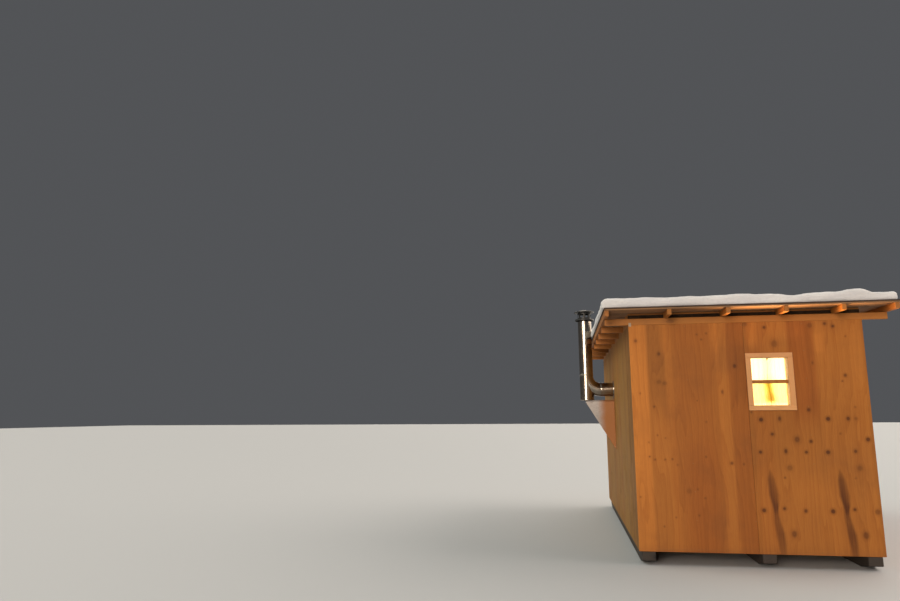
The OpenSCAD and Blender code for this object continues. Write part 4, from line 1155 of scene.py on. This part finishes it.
# painted shade: the sheet darkens towards its lower end
scol = sheet.mix(sheet.range(place[2], 1.50, 1.79, 0.42, 0.0), scol, (0.20, 0.185, 0.17))
stain = sheet.range(sheet.math("MULTIPLY_ADD", cloudy, 0.08, sheet.math("ADD", place[0], -0.04)), -1.575, -1.435, 0.0, 0.88)
scol = sheet.mix(stain, scol, (0.310, 0.108, 0.016))
sheet.set(Base_Color=scol, Metallic=sheet.math("MULTIPLY_ADD", stain, -0.55, 0.5, clamp=True), Specular_IOR_Level=0.2)
sheet.set(Roughness=sheet.math("MULTIPLY_ADD", stain, 0.2, sheet.math("MULTIPLY_ADD", flake, 0.1, 0.42)))
TIE = steel("tie_plate_zinc", (0.30, 0.225, 0.155), 0.5, along="", metallic=0.3, aniso=0.0)
SCREW = steel("screw_yellow_dulled", (0.23, 0.13, 0.045), 0.5, along="", dirt=0.7, dirt_colour=(0.05, 0.025, 0.012), metallic=0.5, aniso=0.0)


def dress(node, mat, bevel=0.001, angle=32):
    """A CAD node keeps its shape and gets its material and eased edges."""
    o = NODES[node]
    o.data.materials.clear()
    o.data.materials.append(mat)
    if bevel:
        b = o.modifiers.new("eased_edges", "BEVEL")
        b.width, b.segments, b.limit_method, b.angle_limit = bevel, 2, "ANGLE", math.radians(angle)
        b.harden_normals = False


def smooth_copy(node, name, mat, slot, angle=34, bevel=0.0):
    """A piece with the CAD node's own surface, joined up and shaded smooth, so that turned metal doesn't show flats."""
    src = NODES[node].data
    co = np.zeros(len(src.vertices) * 3)
    src.vertices.foreach_get("co", co)
    co = co.reshape(-1, 3)
    key, remap, uniq = {}, [], []
    for q in co:
        k = (round(q[0] * 1e5), round(q[1] * 1e5), round(q[2] * 1e5))
        if k not in key:
            key[k] = len(uniq)
            uniq.append(q)
        remap.append(key[k])
    faces = []
    for poly in src.polygons:
        f = [remap[i] for i in poly.vertices]
        f = [a for k, a in enumerate(f) if a != f[k - 1]]
        if len(f) >= 3:
            faces.append(f)
    p = Piece(name)
    centre = (np.array(uniq).max(0) + np.array(uniq).min(0)) / 2
    p.add(uniq, faces, np.array(uniq) - centre, smooth=True)
    obj = p.make([mat], slot, (node,), smooth_angle=angle)
    return obj


# ---------------------------------------------------------------- screws

def heads(name, places, way, mat, slot, r=0.0040):
    """Countersunk screw heads with a cross recess hint, set flush at places, facing the way given."""
    p = Piece(name)
    way = np.array(way, float)
    axis = int(np.argmax(np.abs(way)))
    sign = float(way[axis])
    for q in places:
        turn = p.rng.normal() * 0.0002
        prof = [(0, -0.003), (r, -0.003), (r, 0.0002), (r * 0.86, 0.0007 + turn), (r * 0.42, 0.0007 + turn), (r * 0.26, -0.0006), (0, -0.0006)]
        if sign < 0:
            prof = [(a, -b) for a, b in prof][::-1]
        p.lathe(prof, q, axis=axis, count=10, smooth=False)
    return p.make([mat], slot)


def rows(a, b, step, inset_=0.0):
    n = max(1, int(round((b - a - 2 * inset_) / step)))
    return [a + inset_ + (b - a - 2 * inset_) * k / n for k in range(n + 1)]


jig = seeded("screw places")


def jiggle(q):
    return tuple(c + jig.normal() * 0.0025 for c in q)


front_places = []
for x in (X0 + 0.020, X0 + 0.61, X0 + 1.205, X0 + 1.236, X0 + 1.83, X1 - 0.020):
    for z in rows(Z0, Z1, 0.30, 0.030):
        if not (-0.12 < x < 0.41 and 1.60 < z < 2.26):
            q = jiggle((x, Y0, z))
            front_places.append((q[0], Y0 + 0.0004, q[2]))
heads("front_wall_screws", front_places, (0, -1, 0), SCREW, "galvanised_steel")
for word, x, way in (("left", X0, -1), ("right", X1, 1)):
    places = []
    for k in range(4):
        for y in (-2.428 + side * k + 0.018, -2.428 + side * (k + 0.5), -2.428 + side * (k + 1) - 0.018):
            for z in rows(Z0, Z1, 0.30, 0.030):
                if word == "right" or math.hypot(y - 0.274, z - 1.958) > 0.16:
                    q = jiggle((x, y, z))
                    places.append((x - way * 0.0004, q[1], q[2]))
    heads(f"{word}_wall_screws", places, (way, 0, 0), SCREW, "galvanised_steel")
places = []
for x in (X0 + 0.020, X0 + 0.41, X1 - 0.41, X1 - 0.020):
    for z in rows(Z0, Z1, 0.30, 0.030):
        q = jiggle((x, Y1, z))
        places.append((q[0], Y1 - 0.0004, q[2]))
for x in (-0.44, -0.10, 0.25):
    places.append((x, Y1 - 0.0004, 2.545))
heads("rear_wall_screws", places, (0, 1, 0), SCREW, "galvanised_steel")

# the small galvanised plate that ties the front beam to the wall at the left corner
p = Piece("beam_tie_plate")
p.bar((-1.3185, -2.4416, 2.5640), (-1.2900, -2.4401, 2.6080), axis=2, ch=0.0005)
p.make([TIE], "galvanised_steel")
heads("beam_tie_nails", [(x, -2.4414, z) for x, z in ((-1.3115, 2.5705), (-1.2975, 2.5720), (-1.3110, 2.6010), (-1.2970, 2.5995))], (0, -1, 0), TIE, "galvanised_steel", r=0.0036)

# ---------------------------------------------------------------- door

panel("door_leaf_face", (-0.496, 2.436, 0.306), (1, 0, 0), (0, -1, 0), 0.792, 1.988, scattered("door", 0.792, 1.988, 9, 0.7), DOOR_PLY, "door_plywood",
      ("door_leaf",), cell=0.018, seed=91.0)
panel("door_leaf_back", (-0.496, 2.392, 0.306), (1, 0, 0), (0, 1, 0), 0.792, 1.988, scattered("door back", 0.792, 1.988, 7, 0.5), LINING, "door_plywood",
      ("door_leaf",), cell=0.06, seed=93.0, thick=0.0095)
p = Piece("door_leaf_frame")
p.bar((-0.4958, 2.4018, 0.3062), (-0.4300, 2.4238, 2.2938), axis=2)
p.bar((0.2300, 2.4018, 0.3062), (0.2958, 2.4238, 2.2938), axis=2)
for z in (0.3062, 1.26, 2.2238):
    p.bar((-0.4296, 2.4018, z), (0.2296, 2.4238, z + 0.07), axis=0)
p.make([STUD], "door_plywood", ("door_leaf",))
p = Piece("door_casing_boards")
p.bar((-0.589, 2.4402, 0.200), (-0.498, 2.4600, 2.2955), axis=2, ch=0.003)
p.bar((0.298, 2.4402, 0.200), (0.389, 2.4600, 2.2955), axis=2, ch=0.003)
p.bar((-0.589, 2.4402, 2.2962), (0.389, 2.4600, 2.387), axis=0, ch=0.003)
p.make([TRIM], "casing_timber", ("door_casing",))
p = Piece("door_threshold_timbers")
p.bar((-0.4998, 2.3402, 0.1402), (0.2998, 2.4398, 0.2978), axis=0, ch=0.003)
p.bar((-0.4978, 2.4402, 0.2532), (0.2978, 2.4738, 0.2978), axis=0, ch=0.004)
p.make([SPRUCE], "frame_timber", ("door_threshold",))
dress("door_hinges", IRON, 0.0008)
dress("door_handle", IRON, 0.0025)
heads("door_hinge_screws", [(x, 2.4400, z) for z in (0.598, 1.998) for x in (-0.450, -0.350, -0.250, -0.140)], (0, 1, 0), ZINC, "galvanised_steel", r=0.0050)

# ---------------------------------------------------------------- flue

FX, FY, FZ = -1.712, 0.274, 1.958
smooth_copy("flue_tee", "flue_tee_swept", STAINLESS, "flue_steel", angle=30)
p = Piece("flue_pipe_insulated")
p.lathe([(0.076, 0), (0.100, 0), (0.1000, 0.004), (0.1000, 0.20), (0.1000, 0.45), (0.1000, 0.70), (0.1000, 0.8205), (0.0995, 0.8235), (0.0995, 0.8500), (0.0760, 0.8510)],
        (FX, FY, 2.178), count=128, closed=True, sharp=(0, 8, 9))
p.make([STAINLESS], "flue_steel", ("flue_pipe",), smooth_angle=40)
p = Piece("flue_locking_bands")
for z, r, h in ((2.164, 0.1000, 0.028),):
    p.lathe([(r - 0.002, 0), (r + 0.0008, 0), (r + 0.0022, 0.002), (r + 0.0022, 0.007), (r + 0.0012, 0.009), (r + 0.0012, h - 0.009), (r + 0.0022, h - 0.007), (r + 0.0022, h - 0.002), (r + 0.0008, h), (r - 0.002, h)],
            (FX, FY, z), count=128, closed=True)
p.lathe([(0.098, 0), (0.1008, 0), (0.1022, 0.002), (0.1022, 0.007), (0.1012, 0.009), (0.1012, 0.017), (0.1022, 0.019), (0.1022, 0.024), (0.1008, 0.026), (0.098, 0.026)],
        (-1.516, FY, FZ), axis=0, count=128, closed=True)
p.make([STAINLESS_RING], "flue_steel", smooth_angle=50)
p = Piece("flue_wall_pipe_tube")
p.lathe([(0.0760, 0), (0.1000, 0), (0.1000, 0.004), (0.1000, 0.328), (0.0990, 0.332), (0.0760, 0.332)], (-1.502, FY, FZ), axis=0, count=128, closed=True, sharp=(0, 4, 5))
p.make([STAINLESS_LEVEL], "flue_steel", ("flue_wall_pipe",), smooth_angle=40)
p = Piece("flue_wall_collar_plate")
p.lathe([(0.1005, -0.0038), (0.1290, -0.0034), (0.1300, -0.0022), (0.1300, 0.0), (0.1005, 0.0)], (-1.3202, FY, FZ), axis=0, count=96, closed=True)
p.lathe([(0.1002, -0.0120), (0.1022, -0.0120), (0.1028, -0.0060), (0.1060, -0.0036), (0.1002, -0.0036)], (-1.3202, FY, FZ), axis=0, count=96, closed=True)
p.make([STAINLESS_RING], "flue_steel", ("flue_wall_collar",), smooth_angle=40)
heads("flue_collar_screws", [(-1.3236, FY + 0.116 * math.cos(a), FZ + 0.116 * math.sin(a)) for a in np.arange(6) * math.pi / 3 + 0.5], (-1, 0, 0), ZINC, "galvanised_steel", r=0.0045)
p = Piece("flue_tee_end_cap")
p.lathe([(0, 0.0020), (0.086, 0.0020), (0.090, 0.0), (0.0985, 0.0), (0.1010, 0.0015), (0.1018, 0.005), (0.1010, 0.0075), (0.1016, 0.010), (0.1010, 0.0140), (0, 0.0140)],
        (FX, FY, 1.802), count=128)
p.make([STAINLESS_RING], "flue_steel", ("flue_tee_cap",), smooth_angle=40)
p = Piece("flue_ring_flange")
p.lathe([(0.1000, 0.0210), (0.1330, 0.0200), (0.1350, 0.0180), (0.1350, 0.0020), (0.1360, 0.0005), (0.1378, 0.0005), (0.1386, 0.0025), (0.1380, 0.0230), (0.1360, 0.0262), (0.1330, 0.0270), (0.1040, 0.0270), (0.1000, 0.0262)],
        (FX, FY, 3.002), count=96, closed=True)
p.make([SOOTED_PAINTED_DARK], "cowl_steel", ("flue_ring",), smooth_angle=40)
smooth_copy("flue_cowl", "flue_cowl_slotted", SOOTED_PAINTED_DARK, "cowl_steel", angle=30)
p = Piece("flue_cowl_rim")
p.lathe([(0.1440, 0.0), (0.1462, -0.0016), (0.1488, -0.0006), (0.1494, 0.0020), (0.1480, 0.0046), (0.1450, 0.0046)], (FX, FY, 3.127), count=96, closed=True)
p.make([SOOTED_PAINTED_DARK], "cowl_steel", smooth_angle=60)
dress("flue_bracket", sheet.mat, 0.0011)
heads("flue_bracket_screws", [(-1.3240, y, z) for z in (1.12, 1.30, 1.50, 1.70) for y in (0.250, 0.298)], (-1, 0, 0), ZINC, "galvanised_steel", r=0.0055)

# ---------------------------------------------------------------- camera, floor and light

def camera():
    yaw, pitch, roll = math.radians(9.1666), math.radians(9.5433), math.radians(-0.3416)
    fw = Vector((-math.sin(yaw) * math.cos(pitch), math.cos(yaw) * math.cos(pitch), math.sin(pitch)))
    level = Vector((math.cos(yaw), math.sin(yaw), 0))
    upright = level.cross(fw)
    right = level * math.cos(roll) + upright * math.sin(roll)
    up = upright * math.cos(roll) - level * math.sin(roll)
    data = bpy.data.cameras.new("camera")
    data.sensor_width, data.lens = 36.0, 27.406
    data.clip_start, data.clip_end = 0.05, 400
    obj = bpy.data.objects.new("camera", data)
    SCENE.collection.objects.link(obj)
    m = Matrix((right, up, -fw)).transposed().to_4x4()
    m.translation = Vector((-2.084086, -10.351822, 1.584846))
    obj.matrix_world = m
    SCENE.camera = obj


camera()
mesh = bpy.data.meshes.new("floor")
mesh.from_pydata([(-90, -60, 0), (90, -60, 0), (90, 120, 0), (-90, 120, 0)], [], [(0, 1, 2, 3)])
floor = bpy.data.objects.new("floor", mesh)
SCENE.collection.objects.link(floor)
floor_mat = Mat("floor_pale")
floor_mat.set(Base_Color=(0.47, 0.47, 0.48), Roughness=0.85, Specular_IOR_Level=0.2)
mesh.materials.append(floor_mat.mat)

world = bpy.data.worlds.new("studio")
SCENE.world = world
world.use_nodes = True
back = world.node_tree.nodes["Background"]
back.inputs["Color"].default_value = (0.085, 0.088, 0.094, 1)
back.inputs["Strength"].default_value = 1.0


def sun(name, source, strength, spread, colour=(1, 1, 1)):
    """Even soft studio light from the direction of source."""
    data = bpy.data.lights.new(name, "SUN")
    data.energy, data.angle, data.color = strength, math.radians(spread), colour
    obj = bpy.data.objects.new(name, data)
    SCENE.collection.objects.link(obj)
    obj.location = Vector(source).normalized() * 12
    obj.rotation_mode = "QUATERNION"
    obj.rotation_quaternion = (-Vector(source)).to_track_quat("-Z", "Y")
    return obj


sun("key", (-0.33, -0.92, 0.20), 2.42, 27, (1.0, 0.86, 0.72))
sun("left_fill", (-0.75, 0.10, 0.80), 1.05, 40, (0.88, 1.0, 0.86))
sun("rear_fill", (0.45, 0.90, 0.30), 2.3, 60, (1.0, 0.88, 0.75))
sun("right_fill", (0.90, 0.10, 0.62), 1.9, 50, (1.0, 0.88, 0.75))
sun("overhead", (0.05, 0.05, 1.0), 0.6, 120, (0.97, 0.98, 1.0))
# what the lit window throws up under the eave
for name, place, aim, size, power, spread in (("window_glow", (0.17, -2.478, 1.93), (0.17, -3.187, 2.717), (0.84, 0.03), 26.0, 88),
                                              ("window_glow_right", (0.33, -2.478, 1.95), (1.25, -3.10, 2.72), (0.20, 0.03), 13.0, 54)):
    data = bpy.data.lights.new(name, "AREA")
    data.spread = math.radians(spread)
    data.shape, data.size, data.size_y, data.energy, data.color = "RECTANGLE", size[0], size[1], power, (1.0, 0.60, 0.27)
    obj = bpy.data.objects.new(name, data)
    SCENE.collection.objects.link(obj)
    obj.location = place
    obj.rotation_mode = "QUATERNION"
    obj.rotation_quaternion = (Vector(aim) - Vector(place)).to_track_quat("-Z", "Y")
    obj.visible_camera = False
lamp = bpy.data.lights.new("room_lamp", "POINT")
lamp.energy, lamp.color, lamp.shadow_soft_size = 30, (1.0, 0.72, 0.38), 0.12
lamp_obj = bpy.data.objects.new("room_lamp", lamp)
lamp_obj.location = (-0.1, -1.2, 2.2)
SCENE.collection.objects.link(lamp_obj)
SCENE.view_settings.view_transform = "Standard"
SCENE.view_settings.look = "None"
